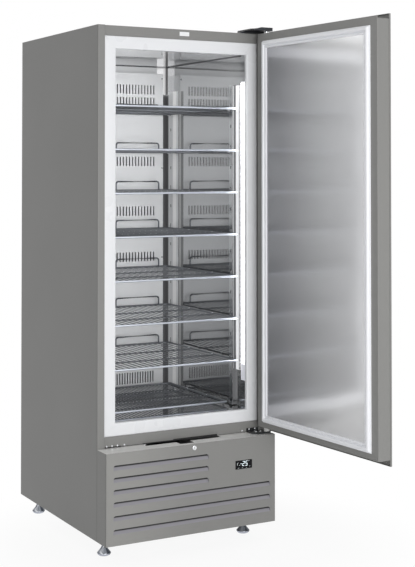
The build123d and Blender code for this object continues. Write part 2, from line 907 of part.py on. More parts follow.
# Bottom hinge: an arm on the ledge with an upright flange screwed to the rail
lower_hinge_left = 268.0
lower_flange_height = 14.0
bracket_flange = 4.0
with BuildPart() as low_bracket:
    with BuildSketch(level(compartment_top + seat_gap)):
        add(arm_outline(lower_hinge_left))
        with Locations(((opening_edge + half_width) / 2, 0)):
            Rectangle(flange_width, 2 * frame_recess + 1, mode=Mode.SUBTRACT)
    extrude(amount=hinge_plate)
    block(
        (lower_hinge_left, frame_recess - bracket_flange, compartment_top + seat_gap),
        (opening_edge - 1, frame_recess, compartment_top + seat_gap + lower_flange_height),
    )
    with BuildSketch(level(compartment_top + seat_gap)):
        with Locations((hinge_x, hinge_y)):
            Circle(pin_radius)
    extrude(amount=hinge_plate, mode=Mode.SUBTRACT)
save(low_bracket, "bottom_hinge_bracket")

with BuildPart() as low_pin:
    with BuildSketch(level(compartment_top + seat_gap)):
        with Locations((hinge_x, hinge_y)):
            Circle(pin_radius)
    extrude(amount=door_core_bottom + bush_length - 3 - compartment_top)
    chamfer(low_pin.faces().sort_by(Axis.Z)[-1].edges(), 1)
save(low_pin, "bottom_hinge_pin")

# Top hinge: a plate on a foot block, bolted to the roof and reaching out over the door
upper_hinge_left = 262.0
upper_arm = skin_top + 2.5
with BuildPart() as top_bracket:
    with BuildSketch(level(upper_arm)):
        add(arm_outline(upper_hinge_left))
        with Locations(((upper_hinge_left + half_width - 3) / 2, hinge_back / 2)):
            Rectangle(half_width - 3 - upper_hinge_left, hinge_back)
        with Locations((hinge_x, hinge_y)):
            Circle(pin_radius, mode=Mode.SUBTRACT)
    extrude(amount=hinge_plate)
    block(
        (upper_hinge_left, frame_recess + fold_radius, cabinet_height),
        (half_width - 3, hinge_back, upper_arm),
    )
save(top_bracket, "top_hinge_bracket")

with BuildPart() as top_pin:
    with BuildSketch(level(door_core_top - bush_length + 3)):
        with Locations((hinge_x, hinge_y)):
            Circle(pin_radius)
    extrude(amount=upper_arm + hinge_plate - door_core_top + bush_length - 3)
    chamfer(top_pin.faces().sort_by(Axis.Z)[0].edges(), 1)
save(top_pin, "top_hinge_pin")

cover_wall = 2.0
cover_left = 239.0
cover_right = 350.0
cover_height = 19.0
cover_slope = 60.0
cover_front = hinge_y - hinge_nose - cover_wall - 1
cover_back = hinge_back + cover_wall + 1
with BuildPart() as top_cover:
    with BuildSketch(front(cover_back)):
        Polygon(
            (cover_left, cabinet_height),
            (cover_left + cover_slope, cabinet_height + cover_height),
            (cover_right, cabinet_height + cover_height),
            (cover_right, cabinet_height),
            align=None,
        )
    extrude(amount=cover_back - cover_front)
    fillet(top_cover.edges().filter_by(Axis.Z), 3)
    block(
        (upper_hinge_left - 1, cover_front + cover_wall, cabinet_height),
        (cover_right - cover_wall, cover_back - cover_wall, upper_arm + hinge_plate),
        mode=Mode.SUBTRACT,
    )
    block(
        (cover_left, cover_front, cabinet_height),
        (cover_right, frame_recess, skin_top + seat_gap * 3),
        mode=Mode.SUBTRACT,
    )
save(top_cover, "top_hinge_cover")

# Screw heads: the bottom hinge's own, and the spare ones for hanging the door on the left
screw_radius = 4.2
screw_head = 2.2
spare_screws = (-305.0, -284.0, -263.0, -236.0, 251.0)
spare_height = compartment_top + 6.0
hinge_screws_at = ((290.0, -28.0), (309.0, -28.0))
flange_screws = (279.0, 304.0)
with BuildPart() as screws:
    with BuildSketch(front(frame_recess)):
        with Locations(*((place, spare_height) for place in spare_screws)):
            RegularPolygon(screw_radius, 6)
    extrude(amount=screw_head)
    with BuildSketch(level(lower_arm_top)):
        with Locations(*hinge_screws_at):
            RegularPolygon(screw_radius, 6)
    extrude(amount=screw_head)
    with BuildSketch(front(frame_recess - bracket_flange)):
        with Locations(*((place, spare_height + bracket_flange) for place in flange_screws)):
            RegularPolygon(screw_radius, 6)
    extrude(amount=screw_head)
save(screws, "hinge_screws")

# Lower panel: a pan of sheet steel, open at the back, with pressed louvres and a top ledge
def louvre_outline(right, grow=0.0):
    """The front view of one louvre, from its base line up, rounded at its upper corners."""
    wide = right - louvre_left + 2 * grow
    with BuildSketch() as outline:
        with Locations(((louvre_left + right) / 2, -louvre_height / 2)):
            Rectangle(wide, louvre_height + 2 * grow)
        fillet(outline.vertices().group_by(Axis.Y)[-1], louvre_corner + grow)
    return outline.sketch


def louvre_wedge(right, top, grow=0.0):
    """What a louvre presses inwards: nothing at its base line, and deepest at its top."""
    slope_base = front(panel_front + grow)
    foot = slope_base.from_local_coords((0, top - louvre_height - grow, 0))
    head = slope_base.from_local_coords((0, top + grow, -louvre_pocket))
    with BuildPart() as wedge:
        with BuildSketch(front(panel_front)):
            with Locations((0, top)):
                add(louvre_outline(right, grow))
        extrude(amount=-louvre_pocket - 2 * grow)
        slope = Plane(origin=foot, x_dir=cabinet.x_dir, z_dir=(head - foot).cross(cabinet.x_dir))
        split(bisect_by=slope, keep=Keep.BOTTOM)
    return wedge.part


louvres = [(short_louvre_right, top) for top in short_louvre_tops]
louvres += [(long_louvre_right, top) for top in long_louvre_tops]
with BuildPart() as grille:
    block((-half_width, panel_front, foot_height), (half_width, 0, compartment_top))
    fillet(grille.edges().filter_by(Axis.Z).group_by(Axis.Y)[0], fold_radius)
    block(
        (sheet - half_width, panel_front + sheet, foot_height + sheet),
        (half_width - sheet, 0, compartment_top - sheet),
        mode=Mode.SUBTRACT,
    )
    block(
        (seat_gap - opening_edge, 0, compartment_top - sheet),
        (opening_edge - seat_gap, frame_recess, compartment_top),
    )
    add([louvre_wedge(right, top, sheet) for right, top in louvres])
    add([louvre_wedge(right, top) for right, top in louvres], mode=Mode.SUBTRACT)
    for right, top in louvres:
        block(
            (louvre_left + louvre_corner, panel_front + 2 * sheet, top - seat_gap),
            (right - louvre_corner, panel_front + louvre_pocket + 3 * sheet, top + 3 * sheet),
            mode=Mode.SUBTRACT,
        )
    with BuildSketch(front(panel_front)):
        with Locations((display_x, display_z)):
            RectangleRounded(*display_size, 2)
        with Locations((lock_x, lock_z)):
            Circle(lock_barrel_radius + 2 * pin_clearance)
    extrude(amount=-2 * sheet, mode=Mode.SUBTRACT)
    block(
        (catch_slot[0], frame_recess - catch_slot_depth, compartment_top - 2 * sheet),
        (catch_slot[1], frame_recess, compartment_top),
        mode=Mode.SUBTRACT,
    )
    block(
        (cam_notch[0], frame_recess - catch_slot_depth - cam_notch_depth, compartment_top - 2 * sheet),
        (cam_notch[1], frame_recess, compartment_top),
        mode=Mode.SUBTRACT,
    )
save(grille, "grille_panel")

# Lock: a barrel with a rim on the panel's face, and a cam that turns up through the ledge
lock_plane = Plane(
    origin=cabinet.from_local_coords((lock_x, panel_front, lock_z)),
    x_dir=cabinet.x_dir,
    z_dir=-cabinet.y_dir,
)
lock_rim = 2.0
with BuildPart() as barrel:
    with BuildSketch(lock_plane.offset(seat_gap)):
        Circle(lock_radius)
    extrude(amount=lock_rim, taper=20)
    with BuildSketch(lock_plane.offset(seat_gap)):
        Circle(lock_barrel_radius)
    extrude(amount=-lock_barrel_length - seat_gap)
    with BuildSketch(lock_plane.offset(seat_gap + lock_rim)):
        Rectangle(6, 1.4)
    extrude(amount=-lock_rim, mode=Mode.SUBTRACT)
save(barrel, "lock_barrel")

with BuildPart() as cam:
    with BuildSketch(lock_plane.offset(-lock_barrel_length)):
        Circle(lock_barrel_radius + 1)
        with Locations((-(lock_cam_reach - lock_cam_width / 2) / 2, 0)):
            Rectangle(lock_cam_reach - lock_cam_width / 2, lock_cam_width)
        with Locations((lock_cam_width / 2 - lock_cam_reach, 0)):
            Circle(lock_cam_width / 2)
    extrude(amount=-lock_cam_plate)
save(cam, "lock_cam")

# Thermostat: a housing behind the panel and its dark window in front
window_size = (display_size[0] - 0.6, display_size[1] - 0.6)
with BuildPart() as lens:
    with BuildSketch(front(panel_front + display_lens)):
        with Locations((display_x, display_z)):
            RectangleRounded(*window_size, 2)
    extrude(amount=display_lens + 0.5)
save(lens, "display_window")

with BuildPart() as controller:
    with BuildSketch(front(panel_front + display_lens)):
        with Locations((display_x, display_z)):
            RectangleRounded(
                display_size[0] + 2 * bezel, display_size[1] + 2 * bezel, bezel
            )
    extrude(amount=-bezel)
    with BuildSketch(front(panel_front + display_lens)):
        with Locations((display_x, display_z)):
            Rectangle(display_size[0] - bezel, display_size[1] - bezel)
    extrude(amount=-controller_depth)
save(controller, "controller_housing")

# Refrigeration unit on the base tray: condenser, its fan, compressor and evaporating tray
tray_top = foot_height + tray_plate
condenser_width = 330.0
condenser_height = 250.0
condenser_depth = 70.0
condenser_x = -90.0
condenser_front = 30.0
condenser_fins = (28, 11.0, 6.0)  # count of gaps, their pitch and width
condenser_rim = 10.0
with BuildPart() as condenser:
    low = (condenser_x - condenser_width / 2, condenser_front, tray_top)
    high = (
        condenser_x + condenser_width / 2,
        condenser_front + condenser_depth,
        tray_top + condenser_height,
    )
    block(low, high)
    gap_count, gap_pitch, gap_width = condenser_fins
    with BuildSketch(level(tray_top + condenser_rim)):
        with Locations((condenser_x, condenser_front)):
            with GridLocations(gap_pitch, gap_pitch, gap_count, 1):
                Rectangle(gap_width, 1.5 * condenser_depth)
    extrude(amount=condenser_height - 2 * condenser_rim, mode=Mode.SUBTRACT)
save(condenser, "condenser_coil")

shroud_depth = 26.0
shroud_wall = 2.0
condenser_fan_z = tray_top + condenser_height / 2
condenser_back = condenser_front + condenser_depth
fan_opening = 108.0
with BuildPart() as shroud:
    block(
        (condenser_x - condenser_width / 2, condenser_back, tray_top),
        (condenser_x + condenser_width / 2, condenser_back + shroud_depth, tray_top + condenser_height),
    )
    with BuildSketch(front(condenser_back + shroud_depth)):
        with Locations((condenser_x, condenser_fan_z)):
            Circle(fan_opening)
    extrude(amount=shroud_depth, mode=Mode.SUBTRACT)
    block(
        (condenser_x - condenser_width / 2 + shroud_wall, condenser_back, tray_top + shroud_wall),
        (
            condenser_x + condenser_width / 2 - shroud_wall,
            condenser_back + shroud_depth - shroud_wall,
            tray_top + condenser_height - shroud_wall,
        ),
        mode=Mode.SUBTRACT,
    )
save(shroud, "condenser_fan_shroud")

fan_back = condenser_back + shroud_depth + 16.0
condenser_fan = (condenser_x, fan_back, condenser_fan_z)
condenser_can = (38.0, 60.0)
condenser_wheel = (100.0, 26.0, 24.0)
strap_width = 18.0
strap_back = fan_back + 6.0
condenser_motor = fan_motor(
    condenser_fan,
    *condenser_can,
    (shaft_radius, condenser_wheel[2]),
    (fan_opening + strap_width, strap_width / 2, strap_back),
)
with BuildPart() as condenser_motor_node:
    add(condenser_motor.part)
    for hand in hands.values():
        leg_x = condenser_x + hand * (fan_opening + strap_width * 2 / 3)
        block(
            (leg_x - strap_width / 3, condenser_back + shroud_depth, condenser_fan_z - strap_width / 2),
            (leg_x + strap_width / 3, strap_back - shroud_wall, condenser_fan_z + strap_width / 2),
        )
save(condenser_motor_node, "condenser_fan_motor")
save(
    fan_blade(
        (condenser_x, fan_back - wheel_gap, condenser_fan_z),
        *condenser_wheel, blade_count, shaft_radius + pin_clearance,
    ),
    "condenser_fan_blade",
)

compressor_place = (130.0, cabinet_depth - 332.0)
compressor_base = (250.0, 150.0, 4.0)
compressor_radius = 85.0
compressor_height = 205.0
compressor_dome = 36.0
dome_slope = 40
mount_places = (210.0, 110.0)
mount_radius = 14.0
mount_height = 22.0
with BuildPart() as compressor:
    with BuildSketch(level(tray_top + mount_height)):
        with Locations(compressor_place):
            Rectangle(compressor_base[0], compressor_base[1])
    extrude(amount=compressor_base[2])
    with BuildSketch(level(tray_top + mount_height + compressor_base[2])):
        with Locations(compressor_place):
            Circle(compressor_radius)
    extrude(amount=compressor_height - compressor_base[2] - compressor_dome)
    with BuildSketch(level(tray_top + mount_height + compressor_height - compressor_dome)):
        with Locations(compressor_place):
            Circle(compressor_radius)
    extrude(amount=compressor_dome, taper=dome_slope)
save(compressor, "compressor")

with BuildPart() as mounts:
    with BuildSketch(level(tray_top)):
        with Locations(compressor_place):
            with GridLocations(*mount_places, 2, 2):
                RegularPolygon(mount_radius, 8)
    extrude(amount=mount_height, taper=8)
save(mounts, "compressor_mounts")

pan_size = (300.0, 150.0, 45.0)
pan_place = (-140.0, cabinet_depth - 142.0)
pan_corner = 15.0
pan_wall = 2.0
pan_flare = 6.0  # degrees that its walls lean out
with BuildPart() as water_tray:
    with BuildSketch(level(tray_top)) as water_tray_base:
        with Locations(pan_place):
            Rectangle(pan_size[0], pan_size[1])
        chamfer(water_tray_base.vertices(), pan_corner)
    extrude(amount=pan_size[2], taper=-pan_flare)
    with BuildSketch(level(tray_top + pan_wall)) as water_tray_room:
        with Locations(pan_place):
            Rectangle(pan_size[0] - 2 * pan_wall, pan_size[1] - 2 * pan_wall)
        chamfer(water_tray_room.vertices(), pan_corner - pan_wall)
    extrude(amount=pan_size[2], taper=-pan_flare, mode=Mode.SUBTRACT)
save(water_tray, "evaporating_tray")
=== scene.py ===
import bpy
import json
from math import cos, pi, radians, sin, tau
from mathutils import Matrix, Vector


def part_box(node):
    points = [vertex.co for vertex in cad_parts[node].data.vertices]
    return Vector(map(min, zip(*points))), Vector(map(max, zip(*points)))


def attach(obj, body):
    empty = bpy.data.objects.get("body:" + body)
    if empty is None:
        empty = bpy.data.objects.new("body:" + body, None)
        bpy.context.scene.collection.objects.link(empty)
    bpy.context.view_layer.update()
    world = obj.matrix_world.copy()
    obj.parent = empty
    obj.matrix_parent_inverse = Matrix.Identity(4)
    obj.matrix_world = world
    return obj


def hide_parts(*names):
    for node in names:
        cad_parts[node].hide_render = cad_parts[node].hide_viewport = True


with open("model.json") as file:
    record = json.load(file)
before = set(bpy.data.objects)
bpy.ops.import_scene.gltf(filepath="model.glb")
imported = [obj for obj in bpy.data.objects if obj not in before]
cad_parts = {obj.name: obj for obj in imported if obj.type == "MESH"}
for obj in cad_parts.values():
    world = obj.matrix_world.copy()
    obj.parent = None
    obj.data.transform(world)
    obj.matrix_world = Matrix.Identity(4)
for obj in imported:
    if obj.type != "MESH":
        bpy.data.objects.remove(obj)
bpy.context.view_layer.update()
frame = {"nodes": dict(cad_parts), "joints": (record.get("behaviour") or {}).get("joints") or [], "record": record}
mm = 0.001

# The cabinet's own axes: X from its middle, Y from its front flanges to the back, Z from the floor
middleX = (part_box("side_panel_left")[0].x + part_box("side_panel_right")[1].x) / 2
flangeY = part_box("side_panel_left")[0].y


def cab(x, y, z):  # a point given in the cabinet's own millimetres
    return Vector((middleX + x * mm, flangeY + y * mm, z * mm))


def cabBox(node):  # lowest and highest corner of a CAD node in those millimetres
    return [(corner - cab(0, 0, 0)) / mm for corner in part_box(node)]


# Door pieces are drawn as if it were shut, and this turns them to where it stands
hinge = next(joint for joint in frame["joints"] if joint["name"] == "door_hinge")
doorTurn = Matrix.Rotation(radians(-hinge["range_deg"][0]), 4, "Z")
doorPlace = Matrix.Translation(hinge["pos_m"]) @ doorTurn @ Matrix.Translation(-Vector(hinge["pos_m"]))
print("frame ready")


class Socket:  # an output in a node tree, so that expressions on it add their Math nodes
    def __init__(self, nodes, socket):
        self.nodes = nodes
        self.socket = socket

    def maths(self, operation, *values):
        return self.nodes.add("ShaderNodeMath", {"operation": operation}, dict(enumerate(values)))

    def __add__(self, other):
        return self.maths("ADD", self, other)

    def __sub__(self, other):
        return self.maths("SUBTRACT", self, other)

    def __rsub__(self, other):
        return self.maths("SUBTRACT", other, self)

    def __mul__(self, other):
        return self.maths("MULTIPLY", self, other)

    def __truediv__(self, other):
        return self.maths("DIVIDE", self, other)

    def __rtruediv__(self, other):
        return self.maths("DIVIDE", other, self)

    def __pow__(self, other):
        return self.maths("POWER", self, other)

    def __rpow__(self, other):
        return self.maths("POWER", other, self)

    def __gt__(self, other):
        return self.maths("GREATER_THAN", self, other)

    def __lt__(self, other):
        return self.maths("LESS_THAN", self, other)

    def __abs__(self):
        return self.maths("ABSOLUTE", self)

    __radd__ = __add__
    __rmul__ = __mul__

    def least(self, other):
        return self.maths("MINIMUM", self, other)

    def most(self, other):
        return self.maths("MAXIMUM", self, other)

    def repeat(self, pitch):  # up to the pitch and back to 0, again and again
        return self.maths("PINGPONG", self, pitch)

    def fade(self, low, high):  # 0 below low, 1 above high, smooth between
        return self.nodes.add("ShaderNodeMapRange", {"interpolation_type": "SMOOTHSTEP"},
                              {0: self, 1: low, 2: high})


class Nodes:  # a node tree
    def __init__(self, tree):
        self.tree = tree

    def add(self, kind, settings, inputs, output=0):
        node = self.tree.nodes.new(kind)
        for name, value in settings.items():
            if name == "stops":
                while len(node.color_ramp.elements) < len(value):
                    node.color_ramp.elements.new(1.0)
                for stop, (place, tint) in zip(node.color_ramp.elements, value):
                    stop.position = place
                    stop.color = (*tint, 1)
            else:
                setattr(node, name, value)
        for socket, value in inputs.items():
            self.join(value, node.inputs[socket])
        return Socket(self, node.outputs[output])

    def join(self, value, socket):
        if isinstance(value, Socket):
            self.tree.links.new(value.socket, socket)
        else:
            socket.default_value = value

    def seen(self):  # 1 where the camera looks, also in a mirror and through glass
        camera, glossy, clear = (
            self.add("ShaderNodeLightPath", {}, {}, f"Is {ray} Ray")
            for ray in ("Camera", "Glossy", "Transmission")
        )
        return (camera + glossy + clear).least(1.0)


class Finish(Nodes):  # one material and what feeds its Principled shader
    def __init__(self, name, **constants):
        self.material = bpy.data.materials.new(name)
        self.material.use_nodes = True
        super().__init__(self.material.node_tree)
        self.shader = self.tree.nodes["Principled BSDF"]
        for socket, value in constants.items():
            self.set(socket.replace("_", " "), value)

    def set(self, socket, value):
        if isinstance(value, tuple) and len(value) == 3:
            value = (*value, 1)
        self.join(value, self.shader.inputs[socket])

    def place(self, stretch=(1, 1, 1)):  # where a point is while its piece is at rest, stretched
        here = self.add("ShaderNodeTexCoord", {}, {}, "Object")
        return self.add("ShaderNodeVectorMath", {"operation": "MULTIPLY"}, {0: here, 1: stretch})

    def along(self, axis):  # one coordinate of that place, in metres
        return self.add("ShaderNodeSeparateXYZ", {}, {0: self.place()}, axis)

    def cabinet(self, axis):  # the same in the cabinet's own millimetres
        start = {"X": middleX, "Y": flangeY, "Z": 0.0}[axis]
        return (self.along(axis) - start) / mm

    def facing(self, axis):  # one coordinate of the way that the surface faces
        normal = self.add("ShaderNodeTexCoord", {}, {}, "Normal")
        return self.add("ShaderNodeSeparateXYZ", {}, {0: normal}, axis)

    def cloud(self, scale, detail=3.0, stretch=(1, 1, 1)):
        return self.add("ShaderNodeTexNoise", {}, {
            "Vector": self.place(stretch), "Scale": scale, "Detail": detail, "Roughness": 0.5,
        })

    def blend(self, factor, first, second):
        first = first if isinstance(first, Socket) else (*first, 1)
        second = second if isinstance(second, Socket) else (*second, 1)
        return self.add("ShaderNodeMix", {"data_type": "RGBA"}, {0: factor, 6: first, 7: second}, 2)

    def relief(self, height, depth):
        self.set("Normal", self.add("ShaderNodeBump", {}, {
            "Height": height, "Distance": depth, "Strength": 1.0,
        }))


# Casing: finely speckled grey paint, darker on the sheets that face sideways, which is painted shade
casingPaint = {
    "colour": (0.238, 0.237, 0.229), "dark": (0.218, 0.217, 0.210), "sideShade": 1.0,
    "speck": 700.0, "speckShare": 0.45, "speckDepth": 0.00006, "drift": 2.2,
    "roughness": 0.38, "speckRough": 0.08, "driftRough": 0.10, "specular": 0.40, "coatRoughness": 0.10,
    "turned": 0.7,
}


def sideways(finish):  # 1 on faces that look left or right
    return abs(finish.facing("X")) > casingPaint["turned"]


def makeCasingPaint(name, look, overlay=None):
    paint = Finish(name, Specular_IOR_Level=look["specular"], Coat_Roughness=look["coatRoughness"])
    speck = paint.cloud(look["speck"], 2.0)
    drift = paint.cloud(look["drift"])
    share = look["speckShare"]
    tone = paint.blend(speck * share + drift * (1 - share), look["dark"], look["colour"])
    # painted shade: faces that look left or right take a darker copy of the tone
    if look["sideShade"] < 1.0:
        sideShadeTone = tuple(part * look["sideShade"] for part in look["colour"])
        tone = paint.blend(sideways(paint), tone, sideShadeTone)
    if overlay:
        tone = overlay(paint, tone)
    paint.set("Base Color", tone)
    uneven = (drift - 0.5) * look["driftRough"] + (speck - 0.5) * look["speckRough"]
    paint.set("Roughness", uneven + look["roughness"])
    paint.relief(speck, look["speckDepth"])
    return paint.material


# Lower panel: painted light, lighter than the casing and more so to the left; louvre pockets painted violet grey
# as shade, with painted shadow at their dark deep end; a ledge on top painted bright as lit
panelPaint = {
    # a lighter copy of the casing paint, which is painted light
    **casingPaint, "colour": (0.256, 0.255, 0.246), "sideShade": 0.62,
    "sweep": (-330.0, 60.0), "left": (0.292, 0.290, 0.278), "right": (0.224, 0.223, 0.216),
    "sweepLightShare": 0.8, "pocket": (0.5, 1.0), "pocketEnd": 20.0, "pocketHalf": 332.0,
    "pocketShadeTone": (0.262, 0.256, 0.280), "deep": (5.2, 6.3), "deepShadowTone": (0.030, 0.030, 0.031),
    "level": 0.9, "ledge": (0.76, 0.755, 0.735), "ledgeCoat": 0.9,
}


def addPanelTones(paint, tone):
    across = paint.cabinet("X")
    depth = paint.cabinet("Y") - cabBox("grille_panel")[0].y
    # painted light: a sweep from lighter at the left to darker at the right, a painted reflection
    sweep = paint.blend(across.fade(*panelPaint["sweep"]), panelPaint["left"], panelPaint["right"])
    tone = paint.blend((1.0 - sideways(paint)) * panelPaint["sweepLightShare"], tone, sweep)
    # painted shade in the louvre pockets, violet grey, with a painted shadow at their deep end
    inside = (depth < panelPaint["pocketEnd"]) * (abs(across) < panelPaint["pocketHalf"])
    shadedHollow = paint.blend(depth.fade(*panelPaint["deep"]), panelPaint["pocketShadeTone"], panelPaint["deepShadowTone"])
    tone = paint.blend(depth.fade(*panelPaint["pocket"]) * inside, tone, shadedHollow)
    # painted light: faces that look up, such as the ledge on top, are painted bright as if lit from above
    upward = paint.facing("Z") > panelPaint["level"]
    paint.set("Coat Weight", upward * panelPaint["ledgeCoat"])
    return paint.blend(upward, tone, panelPaint["ledge"])


# Polished sheet: near mirror, with slow waves in it and patches of a darker tone
polishedSteel = {
    "colour": (0.53, 0.535, 0.54), "dark": (0.47, 0.475, 0.48), "metallic": 1.0, "drift": 2.6,
    "roughness": 0.06, "driftRough": 0.03, "wave": 3.2, "waveStretch": (1, 1, 1.6), "waveDepth": 0.0009,
}


def startSheet(name, look):  # a sheet's finish with its waves, and what its tone and gloss drift with
    steel = Finish(name, Metallic=look["metallic"])
    steel.relief(steel.cloud(look["wave"], 1.0, look["waveStretch"]), look["waveDepth"])
    return steel, steel.cloud(look["drift"])


def makeSteel(name, look):
    steel, drift = startSheet(name, look)
    steel.set("Base Color", steel.blend(drift, look["dark"], look["colour"]))
    steel.set("Roughness", look["roughness"] + (drift - 0.5) * look["driftRough"])
    return steel.material


# Walls of the room: painted shade darkens them behind the uprights, down the gap at each side of the duct and
# towards the bottom; a painted highlight makes a bright strip, and painted shade a dark fold, at the top of the
# back wall
linerSteel = {
    **polishedSteel, "colour": (0.50, 0.505, 0.51), "dark": (0.44, 0.445, 0.45), "metallic": 0.88,
    "low": (0.405, 0.41, 0.415), "rise": (350.0, 1500.0), "glow": 0.5,
    "wall": 279.0, "posts": ((109.0, 135.0), (557.0, 647.0)), "postTop": 1700.0,
    "shadow": (0.17, 0.17, 0.175), "shadowRough": 0.5,
    "gapSide": 238.0, "gapBack": 655.0, "gapTop": (1675.0, 1705.0), "gapGlow": (0.047, 0.047, 0.049),
    "cornerFoot": 1692.0, "stripSide": 236.0, "stripBack": 690.0, "stripHighlightTone": (0.9, 0.9, 0.91),
    "stripGlow": (0.85, 0.85, 0.86), "cornerShadeBack": 674.0, "cornerShadeTone": (0.06, 0.06, 0.06),
}


def makeLiner(name, look):
    steel, drift = startSheet(name, look)
    across, back, height = abs(steel.cabinet("X")), steel.cabinet("Y"), steel.cabinet("Z")
    # painted shade behind the uprights and down the gap at each side of the duct
    behind = sum((back > near) * (back < far) for near, far in look["posts"])
    shadedHollow = (across > look["wall"]) * behind * (height < look["postTop"])
    gapShade = (across > look["gapSide"]) * (back > look["gapBack"]) * (1.0 - height.fade(*look["gapTop"]))
    shadow = shadedHollow.most(gapShade)
    above = height > look["cornerFoot"]
    # painted highlight: a bright strip beside the duct at the top of the back wall
    strip = (across > look["stripSide"]) * (across < look["wall"]) * (back > look["stripBack"]) * above
    # painted shade in the top corners of the back wall
    cornerShade = (across > look["wall"]) * (back > look["cornerShadeBack"]) * above
    # painted light: the strip and the gap glow, though no lamp is there
    light = steel.blend(gapShade, (0, 0, 0), look["gapGlow"])
    steel.set("Emission Color", steel.blend(strip, light, look["stripGlow"]))
    steel.set("Emission Strength", look["glow"])
    tone = steel.blend(drift, look["dark"], look["colour"])
    # painted shade: the walls darken towards the bottom
    tone = steel.blend(height.fade(*look["rise"]), look["low"], tone)
    tone = steel.blend(shadow, tone, look["shadow"])
    tone = steel.blend(cornerShade, tone, look["cornerShadeTone"])
    steel.set("Base Color", steel.blend(strip, tone, look["stripHighlightTone"]))
    uneven = (drift - 0.5) * look["driftRough"]
    steel.set("Roughness", uneven + shadow * look["shadowRough"] + look["roughness"])
    return steel.material


# Air duct: satin sheet with faint upright streaks; its returned sides glow with painted light so that they don't
# go black
ductSteel = {
    "colour": (0.84, 0.85, 0.86), "dark": (0.78, 0.79, 0.805), "metallic": 0.45, "roughness": 0.48,
    "driftRough": 0.06, "drift": 3.0, "driftShare": 0.6, "streak": 24.0, "streakStretch": (1, 1, 0.04),
    "glow": 0.3, "side": 239.0,
}


def makeDuct(name, look):
    satin = Finish(name, Metallic=look["metallic"], Emission_Strength=look["glow"])
    # painted light: the returned sides glow as if lit by the light bar
    side = abs(satin.cabinet("X")) > look["side"]
    satin.set("Emission Color", satin.blend(side, (0, 0, 0), look["colour"]))
    drift = satin.cloud(look["drift"])
    streak = satin.cloud(look["streak"], 2.0, look["streakStretch"])
    share = look["driftShare"]
    satin.set("Base Color", satin.blend(drift * share + streak * (1 - share), look["dark"], look["colour"]))
    satin.set("Roughness", look["roughness"] + (drift - 0.5) * look["driftRough"])
    return satin.material


# Door's inner panel: satin sheet painted with a reflection that brightens it more and more from its hinge side to
# its free edge
doorSteel = {
    **polishedSteel, "dark": (0.345, 0.35, 0.372), "colour": (0.98, 0.985, 1.0), "metallic": 0.5,
    "width": 560.0, "paintedSheen": (-0.1, 1.15), "driftTone": 0.12, "drift": 2.2, "driftRough": 0.06,
    "roughness": 0.15, "wave": 2.4, "waveDepth": 0.0026,
}


def makeDoorSteel(name, look):
    steel, drift = startSheet(name, look)
    out = steel.cabinet("Y") / -look["width"]
    # painted reflection: dark at the hinge side, bright at the free edge
    paintedSheen = out.fade(*look["paintedSheen"]) + (drift - 0.5) * look["driftTone"]
    steel.set("Base Color", steel.blend(paintedSheen, look["dark"], look["colour"]))
    steel.set("Roughness", look["roughness"] + (drift - 0.5) * look["driftRough"])
    return steel.material


# Uprights: a painted highlight runs down the rear ones as a bright line, the narrow side that looks forward is
# painted dim as shade, and the rear ones' faces glow with painted light
frontPost = {
    "face": (0.55, 0.56, 0.57), "highlightLine": (0.55, 0.56, 0.57), "sideShadeLow": (0.15, 0.15, 0.155),
    "sideShadeHigh": (0.34, 0.34, 0.345), "roughness": 0.10, "metallic": 1.0, "glow": 0.0,
    "drift": 5.0, "driftStretch": (1, 1, 0.3), "driftRough": 0.06,
    "highlightPlace": 590.5, "highlightFade": (12.5, 17.5), "highlightShare": 0.9, "highlightDrift": 0.2,
    "rise": (700.0, 1600.0), "forward": -0.7, "edge": 270.5, "sideShadeShare": 0.55,
}
rearPost = {
    **frontPost, "face": (0.66, 0.67, 0.68), "highlightLine": (0.98, 0.98, 0.98), "sideShadeLow": (0.02, 0.02, 0.02),
    "sideShadeHigh": (0.03, 0.03, 0.03), "roughness": 0.30, "metallic": 0.2, "glow": 0.13,
}


def makePost(name, look):
    steel = Finish(name, Metallic=look["metallic"], Emission_Strength=look["glow"])
    # painted highlight: a bright line down the rear uprights' faces, a painted reflection
    off = abs(steel.cabinet("Y") - look["highlightPlace"])
    drift = steel.cloud(look["drift"], 2.0, look["driftStretch"])
    highlightLine = (1.0 - off.fade(*look["highlightFade"])) * (look["highlightShare"] + drift * look["highlightDrift"])
    tone = steel.blend(highlightLine, look["face"], look["highlightLine"])
    # painted shade: the narrow side that looks forward is dim, darker low down and darkest at its edge
    edge = abs(steel.cabinet("X")) < look["edge"]
    side = (steel.facing("Y") < look["forward"]) * (look["sideShadeShare"] + edge * (1 - look["sideShadeShare"]))
    dim = steel.blend(steel.cabinet("Z").fade(*look["rise"]), look["sideShadeLow"], look["sideShadeHigh"])
    steel.set("Base Color", steel.blend(side, tone, dim))
    # painted light: the faces glow, on the rear uprights, which are a lighter matt copy of the steel
    steel.set("Emission Color", steel.blend(side, tone, (0, 0, 0)))
    steel.set("Roughness", look["roughness"] + drift * look["driftRough"])
    return steel.material


